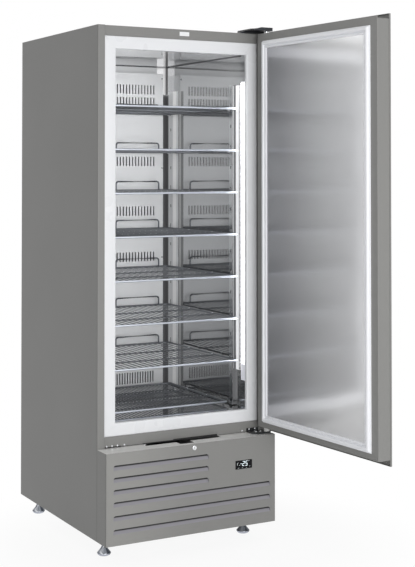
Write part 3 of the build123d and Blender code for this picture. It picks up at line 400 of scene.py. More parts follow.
# Moulded plastics, rubber and sprayed metal, finely pebbled
moulded = {
    "pebble": 1400.0, "depth": 0.00003, "drift": 6.0, "driftTone": 0.96, "driftRough": 0.08,
    "specular": 0.5,
}
plastics = {
    "frameWhite": {"colour": (0.80, 0.81, 0.83), "roughness": 0.28},
    "gasketWhite": {"colour": (0.88, 0.89, 0.92), "roughness": 0.40, "pebble": 900.0},
    "lampWhite": {"colour": (0.86, 0.87, 0.88), "roughness": 0.35},
    "nylonWhite": {"colour": (0.80, 0.80, 0.79), "roughness": 0.40},
    "coverBlack": {"colour": (0.018, 0.021, 0.029), "roughness": 0.30},
    "hingeBlack": {"colour": (0.020, 0.021, 0.024), "roughness": 0.30, "pebble": 500.0, "depth": 0.00005},
    "rubberBlack": {"colour": (0.020, 0.020, 0.020), "roughness": 0.75},
    "motorPaint": {"colour": (0.035, 0.036, 0.038), "roughness": 0.45},
    "keywayShade": {"colour": (0.010, 0.010, 0.010), "roughness": 0.6},
    "darkLineGrey": {"colour": (0.075, 0.075, 0.080), "roughness": 0.6},
}


def makePlastic(name, look):
    plastic = Finish(name, Specular_IOR_Level=look["specular"])
    drift = plastic.cloud(look["drift"])
    darker = tuple(part * look["driftTone"] for part in look["colour"])
    plastic.set("Base Color", plastic.blend(drift, darker, look["colour"]))
    plastic.set("Roughness", look["roughness"] + (drift - 0.5) * look["driftRough"])
    plastic.relief(plastic.cloud(look["pebble"], 2.0), look["depth"])
    return plastic.material


# Plated wire: dull shelf wires, a front rail painted brighter as lit, and painted glints on the wires over the two
# cross rails
platedWire = {"metallic": 0.9, "patches": 60.0, "patchRough": 0.16, "patchDepth": 0.00008}
shelfWire = {
    **platedWire, "colour": (0.27, 0.28, 0.30), "dark": (0.19, 0.20, 0.215), "roughness": 0.32,
    "rail": (0.56, 0.59, 0.65), "litRailDepth": 9.0, "inset": 4.0, "glintTone": (0.86, 0.88, 0.92),
    "glintHalf": 3.6, "glintAside": 0.15, "glintUp": 0.2,
}
stopSteel = {**platedWire, "colour": (0.24, 0.255, 0.28), "dark": (0.16, 0.17, 0.19), "roughness": 0.30}
finStock = {**platedWire, "colour": (0.72, 0.73, 0.74), "dark": (0.58, 0.59, 0.60), "roughness": 0.42}


def makeWire(name, look, overlay=None):
    wire = Finish(name, Metallic=look["metallic"])
    patches = wire.cloud(look["patches"])
    tone = wire.blend(patches, look["dark"], look["colour"])
    wire.set("Base Color", overlay(wire, tone) if overlay else tone)
    wire.set("Roughness", look["roughness"] + (patches - 0.5) * look["patchRough"])
    wire.relief(patches, look["patchDepth"])
    return wire.material


crossPlaces = (1 / 3, 2 / 3)  # shares of a shelf's depth at which its cross rails lie


def makeShelfWire(name, node):
    low, high = cabBox(node)
    run = high.y - low.y - 2 * shelfWire["inset"]

    def addLitRailAndGlints(wire, tone):
        back = wire.cabinet("Y") - low.y
        # painted light: the front rail is brighter
        tone = wire.blend(back < shelfWire["litRailDepth"], tone, shelfWire["rail"])
        # painted highlights: glints on the wires' upper sides over the cross rails
        near = sum(abs(back - (shelfWire["inset"] + share * run)) < shelfWire["glintHalf"]
                   for share in crossPlaces)
        glintFacing = (abs(wire.facing("X")) > shelfWire["glintAside"]) * (wire.facing("Z") > shelfWire["glintUp"])
        return wire.blend(near * glintFacing, tone, shelfWire["glintTone"])

    return makeWire(name, shelfWire, addLitRailAndGlints)


zincCoat = {
    "colour": (0.62, 0.63, 0.64), "dark": (0.42, 0.43, 0.45), "metallic": 0.9, "flake": 70.0,
    "roughness": 0.34, "flakeRough": 0.16, "flakeDepth": 0.00004,
}


def makeZinc(name, look):
    zinc = Finish(name, Metallic=look["metallic"])
    flake = zinc.add("ShaderNodeTexVoronoi", {"feature": "F1"}, {
        "Vector": zinc.place(), "Scale": look["flake"], "Randomness": 1.0,
    }, "Color")
    tone = zinc.add("ShaderNodeSeparateColor", {}, {0: flake}, 0)
    zinc.set("Base Color", zinc.blend(tone, look["dark"], look["colour"]))
    zinc.set("Roughness", look["roughness"] + tone * look["flakeRough"])
    zinc.relief(tone, look["flakeDepth"])
    return zinc.material


chromePlate = {
    "colour": (0.86, 0.87, 0.88), "dark": (0.74, 0.75, 0.77), "haze": 45.0, "roughness": 0.06,
    "hazeRough": 0.07,
}


def makeChrome(name, look):
    chrome = Finish(name, Metallic=1.0)
    haze = chrome.cloud(look["haze"])
    chrome.set("Base Color", chrome.blend(haze, look["dark"], look["colour"]))
    chrome.set("Roughness", look["roughness"] + haze * look["hazeRough"])
    return chrome.material


# Feet: polished, with painted reflections: the dark and light bands of a studio round each cone, painted shade
# dimmer to the right, and a painted reflection of the floor on the lower band
footChrome = {
    "reflectionBands": [(0.0, (0.10, 0.11, 0.13)), (0.10, (0.12, 0.13, 0.15)), (0.22, (0.80, 0.82, 0.86)),
              (0.36, (0.50, 0.53, 0.58)), (0.46, (0.62, 0.65, 0.70)), (0.58, (0.10, 0.11, 0.13)),
              (0.74, (0.16, 0.18, 0.21)), (0.88, (0.05, 0.05, 0.06))],
    "roughness": 0.10, "dim": (-150.0, 150.0), "dimShare": 0.6, "dimTone": (0.03, 0.03, 0.035),
    "under": (0.42, 0.44, 0.50), "underLean": 0.05, "underTurn": 0.35,
}


def makeFootChrome(name, look):
    chrome = Finish(name, Metallic=1.0, Roughness=look["roughness"])
    facing, lean = chrome.facing("X"), chrome.facing("Z")
    # painted reflections of a studio's lights and dark flags, by the way each face looks
    reflectedBand = chrome.add("ShaderNodeValToRGB", {"stops": look["reflectionBands"]}, {0: facing * 0.5 + 0.5})
    # painted shade: dimmer to the right
    dim = chrome.cabinet("X").fade(*look["dim"]) * look["dimShare"]
    # painted reflection of the floor on the lower band
    under = (lean < look["underLean"]) * (facing < look["underTurn"])
    chrome.set("Base Color", chrome.blend(under, chrome.blend(dim, reflectedBand, look["dimTone"]), look["under"]))
    return chrome.material


# Light bar's housing: the thin strip behind it glows at its back, with a row of lamps beside
lampBar = {
    "colour": (0.86, 0.87, 0.90), "dark": (0.80, 0.81, 0.85), "roughness": 0.35, "wall": 277.0,
    "near": 53.0, "strip": (0.55, 0.55, 0.56), "stripGlow": (0.20, 0.20, 0.23), "back": 80.0,
    "backGlow": (0.45, 0.46, 0.47), "dots": 71.0, "pitch": 15.5, "dotFade": (2.76, 4.6),
    "dot": (0.24, 0.24, 0.25), "drift": 8.0,
}


def makeLampBar(name, look):
    bar = Finish(name, Roughness=look["roughness"], Emission_Strength=1.0)
    y = bar.cabinet("Y")
    strip = (bar.cabinet("X") > look["wall"]) * (y > look["near"])
    back = strip * (y > look["back"])
    off = bar.cabinet("Z").repeat(look["pitch"] / 2)
    away = ((y - look["dots"]) ** 2.0 + off * off) ** 0.5
    dot = strip * (1.0 - away.fade(*look["dotFade"])) * (1.0 - back)
    tone = bar.blend(bar.cloud(look["drift"], 2.0), look["dark"], look["colour"])
    bar.set("Base Color", bar.blend(dot, bar.blend(strip, tone, look["strip"]), look["dot"]))
    glow = bar.blend(strip, look["stripGlow"], (0, 0, 0))
    bar.set("Emission Color", bar.blend(back, glow, look["backGlow"]))
    return bar.material


# Lamps: the light bar's lens, and the display's digits and marks, whitish in patches
lit = {"roughness": 0.35, "drift": 9.0, "pale": (0.95, 0.96, 0.97), "paleGlow": (1.0, 1.0, 1.0)}
lamps = {
    "lampLens": {"colour": (0.94, 0.97, 1.0), "strength": 8.0},
    "digitLight": {"colour": (0.62, 0.78, 0.84), "strength": 1.0},
    "markLight": {"colour": (0.10, 0.16, 0.16), "strength": 0.7},
}


def makeLamp(name, look):
    lamp = Finish(name, Roughness=look["roughness"], Emission_Strength=look["strength"])
    drift = lamp.cloud(look["drift"], 2.0)
    lamp.set("Base Color", lamp.blend(drift, look["colour"], look["pale"]))
    lamp.set("Emission Color", lamp.blend(drift, look["colour"], look["paleGlow"]))
    return lamp.material


foamCore = {
    "colour": (0.78, 0.68, 0.44), "dark": (0.62, 0.50, 0.28), "roughness": 0.9, "cells": 320.0,
    "cellDepth": 0.0008,
}


def makeFoam(name, look):
    foam = Finish(name, Roughness=look["roughness"])
    cells = foam.cloud(look["cells"], 4.0)
    foam.set("Base Color", foam.blend(cells, look["dark"], look["colour"]))
    foam.relief(cells, look["cellDepth"])
    return foam.material


windowGlass = {
    "colour": (0.008, 0.008, 0.010), "dark": (0.004, 0.004, 0.005), "specular": 0.12, "drift": 30.0,
    "roughness": 0.07, "driftRough": 0.05,
}


def makeGlass(name, look):
    glass = Finish(name, Specular_IOR_Level=look["specular"])
    drift = glass.cloud(look["drift"], 2.0)
    glass.set("Base Color", glass.blend(drift, look["dark"], look["colour"]))
    glass.set("Roughness", look["roughness"] + drift * look["driftRough"])
    return glass.material


paint = makeCasingPaint("casingPaint", casingPaint)
# side panels: the same paint with painted shade on their faces that look sideways
sideShadedPaint = makeCasingPaint("sidePaintShaded", {**casingPaint, "sideShade": 0.66})
duct = makeDuct("ductSteel", ductSteel)
posts = {"front": makePost("frontPost", frontPost), "rear": makePost("rearPost", rearPost)}
plastic = {name: makePlastic(name, {**moulded, **look}) for name, look in plastics.items()}
lamp = {name: makeLamp(name, {**lit, **look}) for name, look in lamps.items()}
shelfFinish = makeShelfWire("wireBright", "shelf_1")
chrome = makeChrome("chromePlate", chromePlate)

finishes = {
    "casing_steel": paint, "door_body": paint, "zinc_steel": makeZinc("zincCoat", zincCoat),
    "polished_steel": makeSteel("polishedSteel", polishedSteel), "foam": makeFoam("foamCore", foamCore),
    "frame_white": plastic["frameWhite"], "gasket_rubber": plastic["gasketWhite"],
    "shelf_wire": shelfFinish, "coil_aluminium": makeWire("finStock", finStock),
    "fan_plastic": plastic["coverBlack"], "motor_steel": plastic["motorPaint"],
    "compressor_black": plastic["motorPaint"], "mount_rubber": plastic["rubberBlack"],
    "lamp_plastic": plastic["lampWhite"], "lamp_lens": lamp["lampLens"],
    "hinge_black": plastic["hingeBlack"], "cover_plastic": plastic["coverBlack"],
    "display_glass": makeGlass("windowGlass", windowGlass), "bright_steel": chrome, "chrome": chrome,
    "nylon": plastic["nylonWhite"],
}
ownFinish = {
    "air_duct_panel": duct, "duct_top_cover": duct, "door_liner": makeDoorSteel("doorSteel", doorSteel),
    "inner_liner": makeLiner("linerSteel", linerSteel), "led_housing": makeLampBar("lampBar", lampBar),
    "upright_rear_left": posts["rear"], "upright_rear_right": posts["rear"],
    "upright_front_left": posts["front"], "upright_front_right": posts["front"],
    "grille_panel": makeCasingPaint("panelPaint", panelPaint, addPanelTones),
    "side_panel_left": sideShadedPaint, "side_panel_right": sideShadedPaint,
}

for part in frame["record"]["subparts"]:
    mesh = frame["nodes"][part["node"]].data
    mesh.materials.clear()
    mesh.materials.append(ownFinish.get(part["node"], finishes[part["material_slot"]]))
print("finishes ready")

creaseAngle = radians(38)  # edges sharper than this stay hard on a smooth piece


def makePiece(name, points, faces, material, *, slot, smooth=True, body="cabinet", replaces=()):
    mesh = bpy.data.meshes.new(name)
    mesh.from_pydata([tuple(point) for point in points], [], faces)
    mesh.update()
    mesh.materials.append(material)
    piece = bpy.data.objects.new(name, mesh)
    bpy.context.scene.collection.objects.link(piece)
    if smooth:
        mesh.shade_smooth()
        edge = piece.modifiers.new("edge", "EDGE_SPLIT")
        edge.split_angle = creaseAngle
    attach(piece, body)
    if replaces:
        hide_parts(*replaces)


def closeRings(count, around, start):  # faces of a tube of rings of equal size, and of its two ends
    faces = []
    for ring in range(count - 1):
        for step in range(around):
            a = start + ring * around + step
            b = start + ring * around + (step + 1) % around
            faces.append((a, b, b + around, a + around))
    faces.append(tuple(start + step for step in reversed(range(around))))
    faces.append(tuple(start + (count - 1) * around + step for step in range(around)))
    return faces


def roundCorners(path, radius, steps=5):  # the path with an arc at each inner point
    rounded = [path[0]]
    for before, corner, after in zip(path, path[1:], path[2:]):
        inward, outward = (before - corner).normalized(), (after - corner).normalized()
        half = inward.angle(outward) / 2
        centre = corner + (inward + outward).normalized() * (radius / sin(half))
        first = corner + inward * (radius * cos(half) / sin(half)) - centre
        axis = inward.cross(outward)
        sweep = -(pi - 2 * half)
        for step in range(steps + 1):
            rounded.append(centre + Matrix.Rotation(sweep * step / steps, 3, axis) @ first)
    rounded.append(path[-1])
    return rounded


def addRod(points, faces, path, radius, sides=8, steep=0.9):  # a round rod along a path
    start = len(points)
    upright = abs((path[1] - path[0]).normalized().z) > steep
    aside = Vector((1, 0, 0)) if upright else Vector((0, 0, 1))
    for n, centre in enumerate(path):
        ahead = (path[min(n + 1, len(path) - 1)] - path[max(n - 1, 0)]).normalized()
        across = ahead.cross(aside).normalized()
        up = across.cross(ahead)
        for step in range(sides):
            angle = tau * (step + 0.5) / sides
            points.append(centre + across * (radius * cos(angle)) + up * (radius * sin(angle)))
    faces += closeRings(len(path), sides, start)


def addTurned(points, faces, seat, profile, axis, sides):  # the profile gives radius and height in mm
    start = len(points)
    across = axis.orthogonal().normalized()
    up = axis.cross(across)
    for radius, height in profile:
        for step in range(sides):
            angle = tau * step / sides
            out = across * cos(angle) + up * sin(angle)
            points.append(seat + out * (radius * mm) + axis * (height * mm))
    faces += closeRings(len(profile), sides, start)


def addBar(points, faces, corners, back, thick):  # a flat shape, its corners in X and Z, towards the front
    start = len(points)
    for depth in (back, back - thick):
        points += [cab(x, depth, z) for x, z in corners]
    faces += closeRings(2, len(corners), start)


def addBlock(points, faces, low, high):  # a block between two of its corners
    corners = [(low[0], low[2]), (high[0], low[2]), (high[0], high[2]), (low[0], high[2])]
    addBar(points, faces, corners, high[1], high[1] - low[1])


# Four strips round a rectangle, with open mitres. The profile's points are in from the outline and off
# its plane.
def makeRing(name, outline, profile, place, material, seam, **ways):
    (left, low), (right, high) = outline
    corners = [(left, low, 1, 1), (right, low, -1, 1), (right, high, -1, -1), (left, high, 1, -1)]
    points, faces = [], []
    for n in range(4):
        holdX, holdZ = (seam / 2, 0.0) if n % 2 == 0 else (0.0, seam / 2)
        for x, z, inX, inZ in (corners[n], corners[(n + 1) % 4]):
            points += [place(x + inX * (inward + holdX), off, z + inZ * (inward + holdZ))
                       for inward, off in profile]
        faces += closeRings(2, len(profile), 2 * n * len(profile))
    makePiece(name, points, faces, material, **ways)


# Wire shelves, each with two hoops at its back that stop what stands on it
shelf = {
    "rail": 4.0, "railSides": 10, "railBend": 8.8, "bendSteps": 4, "wire": 1.6, "wireSides": 6,
    "crossRail": 3.0, "crossGap": 0.3, "wires": 22, "pitch": 24.0, "levelDrop": 40.0,
}
shelfStop = {
    "radius": 3.1, "bend": 11.0, "span": 195.0, "height": 36.8, "middle": 125.0, "shift": -17.0,
    "inset": 22.0,
}


def addWireGrid(points, faces, low, high, level, wires, pitch):
    rail, cross, wireRadius = shelf["rail"] * mm, shelf["crossRail"] * mm, shelf["wire"] * mm
    left, right = low.x + rail, high.x - rail
    near, far = low.y + rail, high.y - rail
    middle = (left + right) / 2
    start = Vector((middle, near, level))
    ring = [start, Vector((left, near, level)), Vector((left, far, level)), Vector((right, far, level)),
            Vector((right, near, level)), start]
    bent = roundCorners(ring, shelf["railBend"] * mm, shelf["bendSteps"])
    addRod(points, faces, bent, rail, shelf["railSides"])
    under = level - wireRadius - cross - shelf["crossGap"] * mm
    for share in crossPlaces:
        y = near + share * (far - near)
        addRod(points, faces, [Vector((left, y, under)), Vector((right, y, under))], cross)
    for n in range(wires):
        x = middle + (n - (wires - 1) / 2) * pitch * mm
        run = [Vector((x, near, level)), Vector((x, far, level))]
        addRod(points, faces, run, wireRadius, shelf["wireSides"])


stopWire = makeWire("stopSteel", stopSteel)
for n in range(1, 8):
    low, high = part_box(f"shelf_{n}")
    level = high.z - shelf["levelDrop"] * mm
    points, faces = [], []
    addWireGrid(points, faces, low, high, level, shelf["wires"], shelf["pitch"])
    makePiece(f"wireShelf{n}", points, faces, shelfFinish, body=f"shelf_{n}_body", slot="shelf_wire",
              replaces=(f"shelf_{n}",))
    points, faces = [], []
    y = high.y - shelfStop["inset"] * mm
    top, half = level + shelfStop["height"] * mm, shelfStop["span"] * mm / 2
    for hand in (-1, 1):
        x = (low.x + high.x) / 2 + (hand * shelfStop["middle"] + shelfStop["shift"]) * mm
        hoop = [Vector((x - half, y, level)), Vector((x - half, y, top)), Vector((x + half, y, top)),
                Vector((x + half, y, level))]
        addRod(points, faces, roundCorners(hoop, shelfStop["bend"] * mm), shelfStop["radius"] * mm)
    makePiece(f"shelfStops{n}", points, faces, stopWire, body=f"shelf_{n}_body", slot="shelf_wire")

# Floor rack on four short legs
rack = {"wires": 32, "pitch": 15.4, "legInset": 32.0}
low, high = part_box("bottom_rack")
level = high.z - shelf["rail"] * mm
points, faces = [], []
addWireGrid(points, faces, low, high, level, rack["wires"], rack["pitch"])
for x in (low.x + shelf["rail"] * mm, high.x - shelf["rail"] * mm):
    for y in (low.y + rack["legInset"] * mm, high.y - rack["legInset"] * mm):
        addRod(points, faces, [Vector((x, y, low.z)), Vector((x, y, level))], shelf["crossRail"] * mm)
makePiece("floorRack", points, faces, makeShelfWire("rackWire", "bottom_rack"), body="rack",
          slot="shelf_wire", replaces=("bottom_rack",))
print("shelves ready")

# White frame round the opening, with rounded edges
whiteFrame = {"face": 46.0, "round": 4.0, "roundSteps": 5, "seam": 0.35}
low, high = cabBox("breaker_frame")
face, bend, depth = whiteFrame["face"], whiteFrame["round"], high.y - low.y
arc = [pi / 2 * n / whiteFrame["roundSteps"] for n in range(whiteFrame["roundSteps"] + 1)]
profile = [(0.0, depth)]
profile += [(bend - bend * cos(angle), bend - bend * sin(angle)) for angle in arc]
profile += [(face - bend + bend * sin(angle), bend - bend * cos(angle)) for angle in arc]
profile += [(face, depth)]
outline = ((low.x, low.z), (high.x, high.z))
makeRing("whiteFrame", outline, profile, lambda x, off, z: cab(x, low.y + off, z), plastic["frameWhite"],
         whiteFrame["seam"], slot="frame_white", replaces=("breaker_frame",))

# Door gasket, a soft profile with a magnet bead, mitred at the corners. A thin dark strip at its inner
# edge is painted shadow.
seal = {
    "half": 310.0, "face": -5.0, "seam": 0.4, "shadowBand": (27.6, 30.6), "shadowBandRise": 0.7,
    "profile": [(0.0, 0.0), (0.0, 2.6), (0.8, 3.9), (2.6, 4.3), (3.8, 5.0), (4.6, 6.8), (5.0, 9.4),
                (6.2, 11.5), (8.4, 12.2), (13.6, 12.2), (15.6, 11.4), (16.6, 9.2), (17.0, 6.2), (18.0, 4.4),
                (19.6, 4.0), (20.8, 5.0), (21.8, 7.0), (23.4, 8.0), (25.8, 8.0), (27.4, 7.0), (28.0, 5.0),
                (28.0, 0.0)],
}


def doorPoint(x, off, z):  # a point off the door's inner face, in millimetres
    return doorPlace @ cab(x, seal["face"] + off, z)


low, high = cabBox("door_gasket")
outline = ((-seal["half"], low.z), (seal["half"], high.z))
makeRing("doorSeal", outline, seal["profile"], doorPoint, plastic["gasketWhite"], seal["seam"],
         body="door", slot="gasket_rubber", replaces=("door_gasket",))
# painted shadow: a dark strip just off the door's face along the gasket's inner edge
near, far = seal["shadowBand"]
shadowBand = [(near, 0.0), (near, seal["shadowBandRise"]), (far, seal["shadowBandRise"]), (far, 0.0)]
makeRing("sealShadowLine", outline, shadowBand, doorPoint, plastic["darkLineGrey"], 0.0, smooth=False, body="door",
         slot="cover_plastic")

# Dark lines where the ceiling of the room meets its walls, its back and the duct's cover
seams = {
    "tall": 2.6, "thick": 0.4, "wall": 279.9, "front": 62.0, "back": 694.9, "cover": 693.6,
    "coverHalf": 237.0,
}
thick, wall, half = seams["thick"], seams["wall"], seams["coverHalf"]
top = cabBox("duct_top_cover")[1].z
bottom = top - seams["tall"]
points, faces = [], []
for hand in (-1, 1):
    near, far = sorted((hand * wall, hand * (wall - thick)))
    addBlock(points, faces, (near, seams["front"], bottom), (far, seams["back"], top))
    near, far = sorted((hand * half, hand * (wall - thick)))
    addBlock(points, faces, (near, seams["back"] - thick, bottom), (far, seams["back"], top))
addBlock(points, faces, (-half, seams["cover"] - thick, bottom), (half, seams["cover"], top))
makePiece("roomSeams", points, faces, plastic["darkLineGrey"], smooth=False, slot="cover_plastic")
print("frame and seal ready")

# Levelling feet: a tapered pad, a cone, a nut's collar and a threaded stem up into the base tray
foot = {
    "sides": 40,
    "profile": [(0.0, 0.0), (17.0, 0.0), (19.0, 0.7), (22.4, 3.4), (24.3, 6.2), (25.0, 8.8), (24.9, 10.2),
                (23.9, 11.6), (20.2, 16.0), (16.4, 20.4), (13.0, 24.6), (10.8, 28.2), (9.5, 31.0),
                (9.0, 33.0), (9.0, 34.0), (7.4, 34.6), (7.4, 36.0), (8.8, 36.6), (8.8, 48.0), (7.4, 48.6),
                (5.0, 49.2)],
    "threadStart": 49.8, "threadPitch": 1.5, "threadEnd": 83.0, "crest": 4.9, "root": 4.3, "tip": 4.0,
}
forward, upward = Vector((0, -1, 0)), Vector((0, 0, 1))
footFinish = makeFootChrome("footChrome", footChrome)
for corner in ("front_left", "front_right", "rear_left", "rear_right"):
    low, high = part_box(f"foot_{corner}")
    profile = list(foot["profile"])
    turn = foot["threadStart"]
    while turn < foot["threadEnd"]:
        profile += [(foot["crest"], turn), (foot["root"], turn + foot["threadPitch"] / 2)]
        turn += foot["threadPitch"]
    stemTop = (high.z - low.z) / mm
    profile += [(foot["tip"], stemTop), (0.0, stemTop)]
    points, faces = [], []
    seat = Vector(((low.x + high.x) / 2, (low.y + high.y) / 2, low.z))
    addTurned(points, faces, seat, profile, upward, foot["sides"])
    makePiece(f"levelFoot_{corner}", points, faces, footFinish, body=f"foot_{corner}_body", slot="chrome",
              replaces=(f"foot_{corner}",))

# Screws: a domed head, given by degrees up its curve, with a round recess for the driver
screw = {
    "radius": 4.0, "height": 2.1, "dome": (0, 18, 36, 54), "recess": 1.9, "recessFoot": 1.52,
    "recessLow": 0.7, "recessPoint": 0.5, "sides": 18,
}
hingeScrews = {  # X of each, the Y and Z that they share, and the way that they face
    "rail": ((-305.0, -284.0, -263.0, -236.0, 251.0), (7.5, 397.0), forward),
    "plate": ((279.0, 304.0), (3.5, 401.0), forward),
    "arm": ((290.0, 309.0), (-28.0, 396.3), upward),
}
ductScrews = {"half": 235.0, "heights": (1756.0, 1382.0, 1009.0, 641.0)}


def addScrews(points, faces, seats, axis):
    dome = [(screw["radius"] * cos(radians(turn)), screw["height"] * sin(radians(turn)))
            for turn in screw["dome"]]
    recess = [(screw["recess"], screw["height"]), (screw["recessFoot"], screw["recessLow"]),
              (0.0, screw["recessPoint"])]
    for seat in seats:
        addTurned(points, faces, cab(*seat), [(0.0, 0.0)] + dome + recess, axis, screw["sides"])


points, faces = [], []
for places, seat, axis in hingeScrews.values():
    addScrews(points, faces, [(x, *seat) for x in places], axis)
makePiece("hingeScrewHeads", points, faces, chrome, slot="bright_steel", replaces=("hinge_screws",))
points, faces = [], []
ductFront = cabBox("air_duct_panel")[0].y
seats = [(hand * ductScrews["half"], ductFront, z) for hand in (-1, 1) for z in ductScrews["heights"]]
addScrews(points, faces, seats, forward)
makePiece("ductScrewHeads", points, faces, chrome, slot="bright_steel")

# Lock: a round barrel with a rolled rim, and its keyway
lock = {
    "profile": [(0.0, -20.0), (6.0, -20.0), (6.0, 0.0), (8.5, 0.0), (8.5, 0.9), (7.9, 1.7), (7.0, 2.0),
                (6.6, 1.6), (6.3, 1.2), (0.0, 1.2)],
    "rim": 2.0, "sides": 32, "keyway": (0.55, 3.4), "keywayOut": 1.05, "keywayThick": 0.4,
}
low, high = cabBox("lock_barrel")
lockX, lockY, lockZ = (low.x + high.x) / 2, low.y + lock["rim"], (low.z + high.z) / 2
points, faces = [], []
addTurned(points, faces, cab(lockX, lockY, lockZ), lock["profile"], forward, lock["sides"])
makePiece("lockBarrel", points, faces, chrome, body="lock", slot="chrome", replaces=("lock_barrel",))
# painted shade: a dark plate stands for the shade in the keyway's slot
halfWide, halfTall = lock["keyway"]
back = lockY - lock["keywayOut"]
points, faces = [], []
addBlock(points, faces, (lockX - halfWide, back - lock["keywayThick"], lockZ - halfTall),
         (lockX + halfWide, back, lockZ + halfTall))
makePiece("lockKeyway", points, faces, plastic["keywayShade"], smooth=False, body="lock", slot="cover_plastic")

# Black strips of painted shadow along the rail above the finger slot, deeper over its right part
slotShadowStrips = {
    "back": 7.3, "thick": 0.6, "low": 391.2,
    "runs": ((-312.0, -250.0, 395.2), (-250.0, -164.0, 392.6), (-164.0, -40.0, 394.0),
             (-40.0, 142.0, 397.0)),
}
points, faces = [], []
for left, right, top in slotShadowStrips["runs"]:
    addBlock(points, faces, (left, slotShadowStrips["back"] - slotShadowStrips["thick"], slotShadowStrips["low"]),
             (right, slotShadowStrips["back"], top))
# painted shadow, given the black rubber finish
makePiece("slotShadowStrips", points, faces, plastic["rubberBlack"], smooth=False, slot="cover_plastic")
print("fittings ready")

# Thermostat display: a minus, two segment digits and small marks on its window
display = {
    "off": 0.02, "thick": 0.35, "wide": 8.6, "tall": 17.0, "stroke": 1.4, "lift": 3.6, "slant": 0.12,
    "digits": [(-6.8, "abged"), (5.8, "afgcd")], "flatTip": (0.6, 0.8), "uprightTip": (0.4, 0.7),
    "minus": (-14.0, -9.6), "minusHalf": 0.8,
    "marks": [(-28.0, -1.0, 1.4, 8.0), (-25.5, 7.0, 2.6, 1.2), (-20.0, -2.0, 3.2, 1.4),
              (-25.0, -12.0, 5.0, 1.0), (-8.0, -12.0, 3.0, 1.0), (10.0, -12.0, 3.0, 1.0),
              (24.0, -9.0, 2.4, 1.6), (19.5, 11.0, 4.0, 1.0)],
}
low, high = cabBox("display_window")
midX, midZ = (low.x + high.x) / 2, (low.z + high.z) / 2
digitBack = low.y - display["off"]
digitMiddle = midZ + display["lift"]
digitFoot = digitMiddle - display["tall"] / 2


def segmentCorners(kind, left):  # of one bar of a digit, upright before it is slanted
    wide, tall, stroke = display["wide"], display["tall"], display["stroke"]
    half = tall / 2
    if kind in "agd":
        tip, shoulder = display["flatTip"][0], display["flatTip"][1] * stroke
        z = digitFoot + {"a": tall - stroke / 2, "g": half, "d": stroke / 2}[kind]
        right, up, down = left + wide, z + stroke / 2, z - stroke / 2
        return [(left + tip, z), (left + shoulder, up), (right - shoulder, up), (right - tip, z),
                (right - shoulder, down), (left + shoulder, down)]
    tip, shoulder = display["uprightTip"][0], display["uprightTip"][1] * stroke
    x = left + (wide - stroke if kind in "bc" else 0.0)
    down = digitFoot + (half if kind in "bf" else 0.0)
    middle, right, up = x + stroke / 2, x + stroke, down + half
    return [(x, down + shoulder), (middle, down + tip), (right, down + shoulder), (right, up - shoulder),
            (middle, up - tip), (x, up - shoulder)]


points, faces = [], []
for left, kinds in display["digits"]:
    for kind in kinds:
        corners = [(x + (z - digitFoot) * display["slant"], z)
                   for x, z in segmentCorners(kind, midX + left)]
        addBar(points, faces, corners, digitBack, display["thick"])
left, right = display["minus"]
addBlock(points, faces, (midX + left, digitBack - display["thick"], digitMiddle - display["minusHalf"]),
         (midX + right, digitBack, digitMiddle + display["minusHalf"]))
makePiece("displayDigits", points, faces, lamp["digitLight"], smooth=False, slot="lamp_lens")
points, faces = [], []
for x, z, wide, tall in display["marks"]:
    addBlock(points, faces, (midX + x, digitBack - display["thick"], midZ + z),
             (midX + x + wide, digitBack, midZ + z + tall))
makePiece("displayMarks", points, faces, lamp["markLight"], smooth=False, slot="lamp_lens")

# Small blank label on the header, with cut corners
label = {"left": -15.0, "right": 25.0, "bottom": 1866.0, "top": 1881.0, "cut": 1.2, "thick": 0.3}
left, right, bottom, top, cut = (label[side] for side in ("left", "right", "bottom", "top", "cut"))
corners = [(left + cut, bottom), (right - cut, bottom), (right, bottom + cut), (right, top - cut),
           (right - cut, top), (left + cut, top), (left, top - cut), (left, bottom + cut)]
points, faces = [], []
addBar(points, faces, corners, cabBox("top_panel")[0].y, label["thick"])
makePiece("headerLabel", points, faces, plastic["lampWhite"], smooth=False, slot="lamp_plastic")
print("display and label ready")

# Floor: white, and so bright away from the object that it has no far edge
floorLook = {
    "half": 12.0, "white": (0.93, 0.93, 0.93), "roughness": 0.8, "specular": 0.2, "away": (0.45, 1.0),
    "nearShare": 0.9,
}
worldStrength = 0.64


def makeFloor(half, white, roughness, specular, away, nearShare):
    mesh = bpy.data.meshes.new("studioFloor")
    corners = [(-half, -half, 0), (half, -half, 0), (half, half, 0), (-half, half, 0)]
    mesh.from_pydata(corners, [], [(0, 1, 2, 3)])
    floor = bpy.data.objects.new("studioFloor", mesh)
    bpy.context.scene.collection.objects.link(floor)
    finish = Finish("studioFloor", Roughness=roughness, Specular_IOR_Level=specular)
    finish.set("Base Color", white)
    x, y = finish.along("X"), finish.along("Y")
    rise = ((x * x + y * y) ** 0.5).fade(*away)
    bright = finish.add("ShaderNodeEmission", {}, {"Color": (1, 1, 1, 1), "Strength": 1.0})
    share = finish.seen() * (nearShare + rise * (1 - nearShare))
    shaded = Socket(finish, finish.shader.outputs[0])
    mixed = finish.add("ShaderNodeMixShader", {}, {0: share, 1: shaded, 2: bright})
    finish.join(mixed, finish.tree.nodes["Material Output"].inputs["Surface"])
    mesh.materials.append(finish.material)


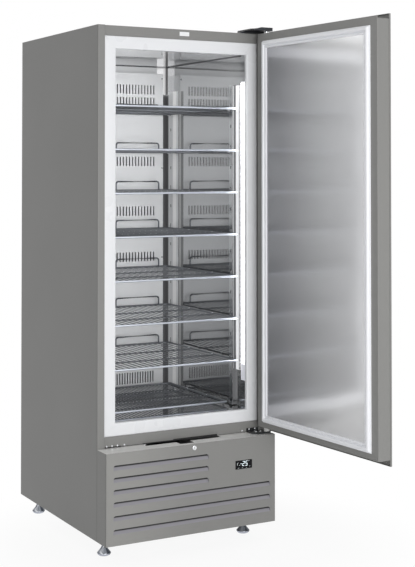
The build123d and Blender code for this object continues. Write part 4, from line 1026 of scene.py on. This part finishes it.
def makeWorld(strength):  # it lights at this strength and is seen as plain white
    world = bpy.data.worlds.new("studioWorld")
    bpy.context.scene.world = world
    world.use_nodes = True
    sky = Nodes(world.node_tree)
    background = sky.tree.nodes["Background"]
    sky.join((1, 1, 1, 1), background.inputs["Color"])
    sky.join(strength + sky.seen() * (1 - strength), background.inputs["Strength"])


# A broad light in front, and two weak ones for what the light bar throws into the room
lights = {
    "frontLight": {"place": (-0.5, -4.2, 1.4), "target": (0.0, 0.0, 1.0), "size": (2.6, 2.6), "power": 72.0,
                   "mirrored": True},
    "barLight": {"place": cab(262.0, 40.0, 1150.0), "target": cab(-100.0, 480.0, 1150.0),
                 "size": (0.02, 1.2), "power": 0.75, "mirrored": False},
    "ceilingLight": {"place": cab(0.0, 70.0, 1795.0), "target": cab(0.0, 560.0, 1430.0),
                     "size": (0.44, 0.06), "power": 2.2, "mirrored": False},
}


def addSoftLight(name, place, target, size, power, mirrored):
    light = bpy.data.lights.new(name, "AREA")
    light.shape = "RECTANGLE"
    light.size, light.size_y = size
    light.energy = power
    panel = bpy.data.objects.new(name, light)
    panel.location = place
    panel.rotation_euler = (Vector(target) - Vector(place)).to_track_quat("-Z", "Y").to_euler()
    panel.visible_glossy = mirrored
    bpy.context.scene.collection.objects.link(panel)


makeFloor(**floorLook)
makeWorld(worldStrength)
for name, light in lights.items():
    addSoftLight(name, **light)

# Camera: its focal length and the row of its axis are in pixels of the picture
view = {
    "place": (-2159.3, -4068.8, 1377.4), "yaw": 29.02, "pitch": 1.33, "focal": 1257.7, "tall": 567,
    "axisRow": 139.8, "sensor": 36.0, "reach": 60.0,
}
lens = bpy.data.cameras.new("photoView")
lens.sensor_width = view["sensor"]
lens.lens = view["focal"] * view["sensor"] / view["tall"]
lens.shift_y = (view["axisRow"] - view["tall"] / 2) / view["tall"]
lens.clip_end = view["reach"]
camera = bpy.data.objects.new("photoView", lens)
camera.location = cab(*view["place"])
camera.rotation_euler = (radians(90 + view["pitch"]), 0, radians(-view["yaw"]))
bpy.context.scene.collection.objects.link(camera)
bpy.context.scene.camera = camera
bpy.context.scene.view_settings.view_transform = "Standard"
print("room ready")
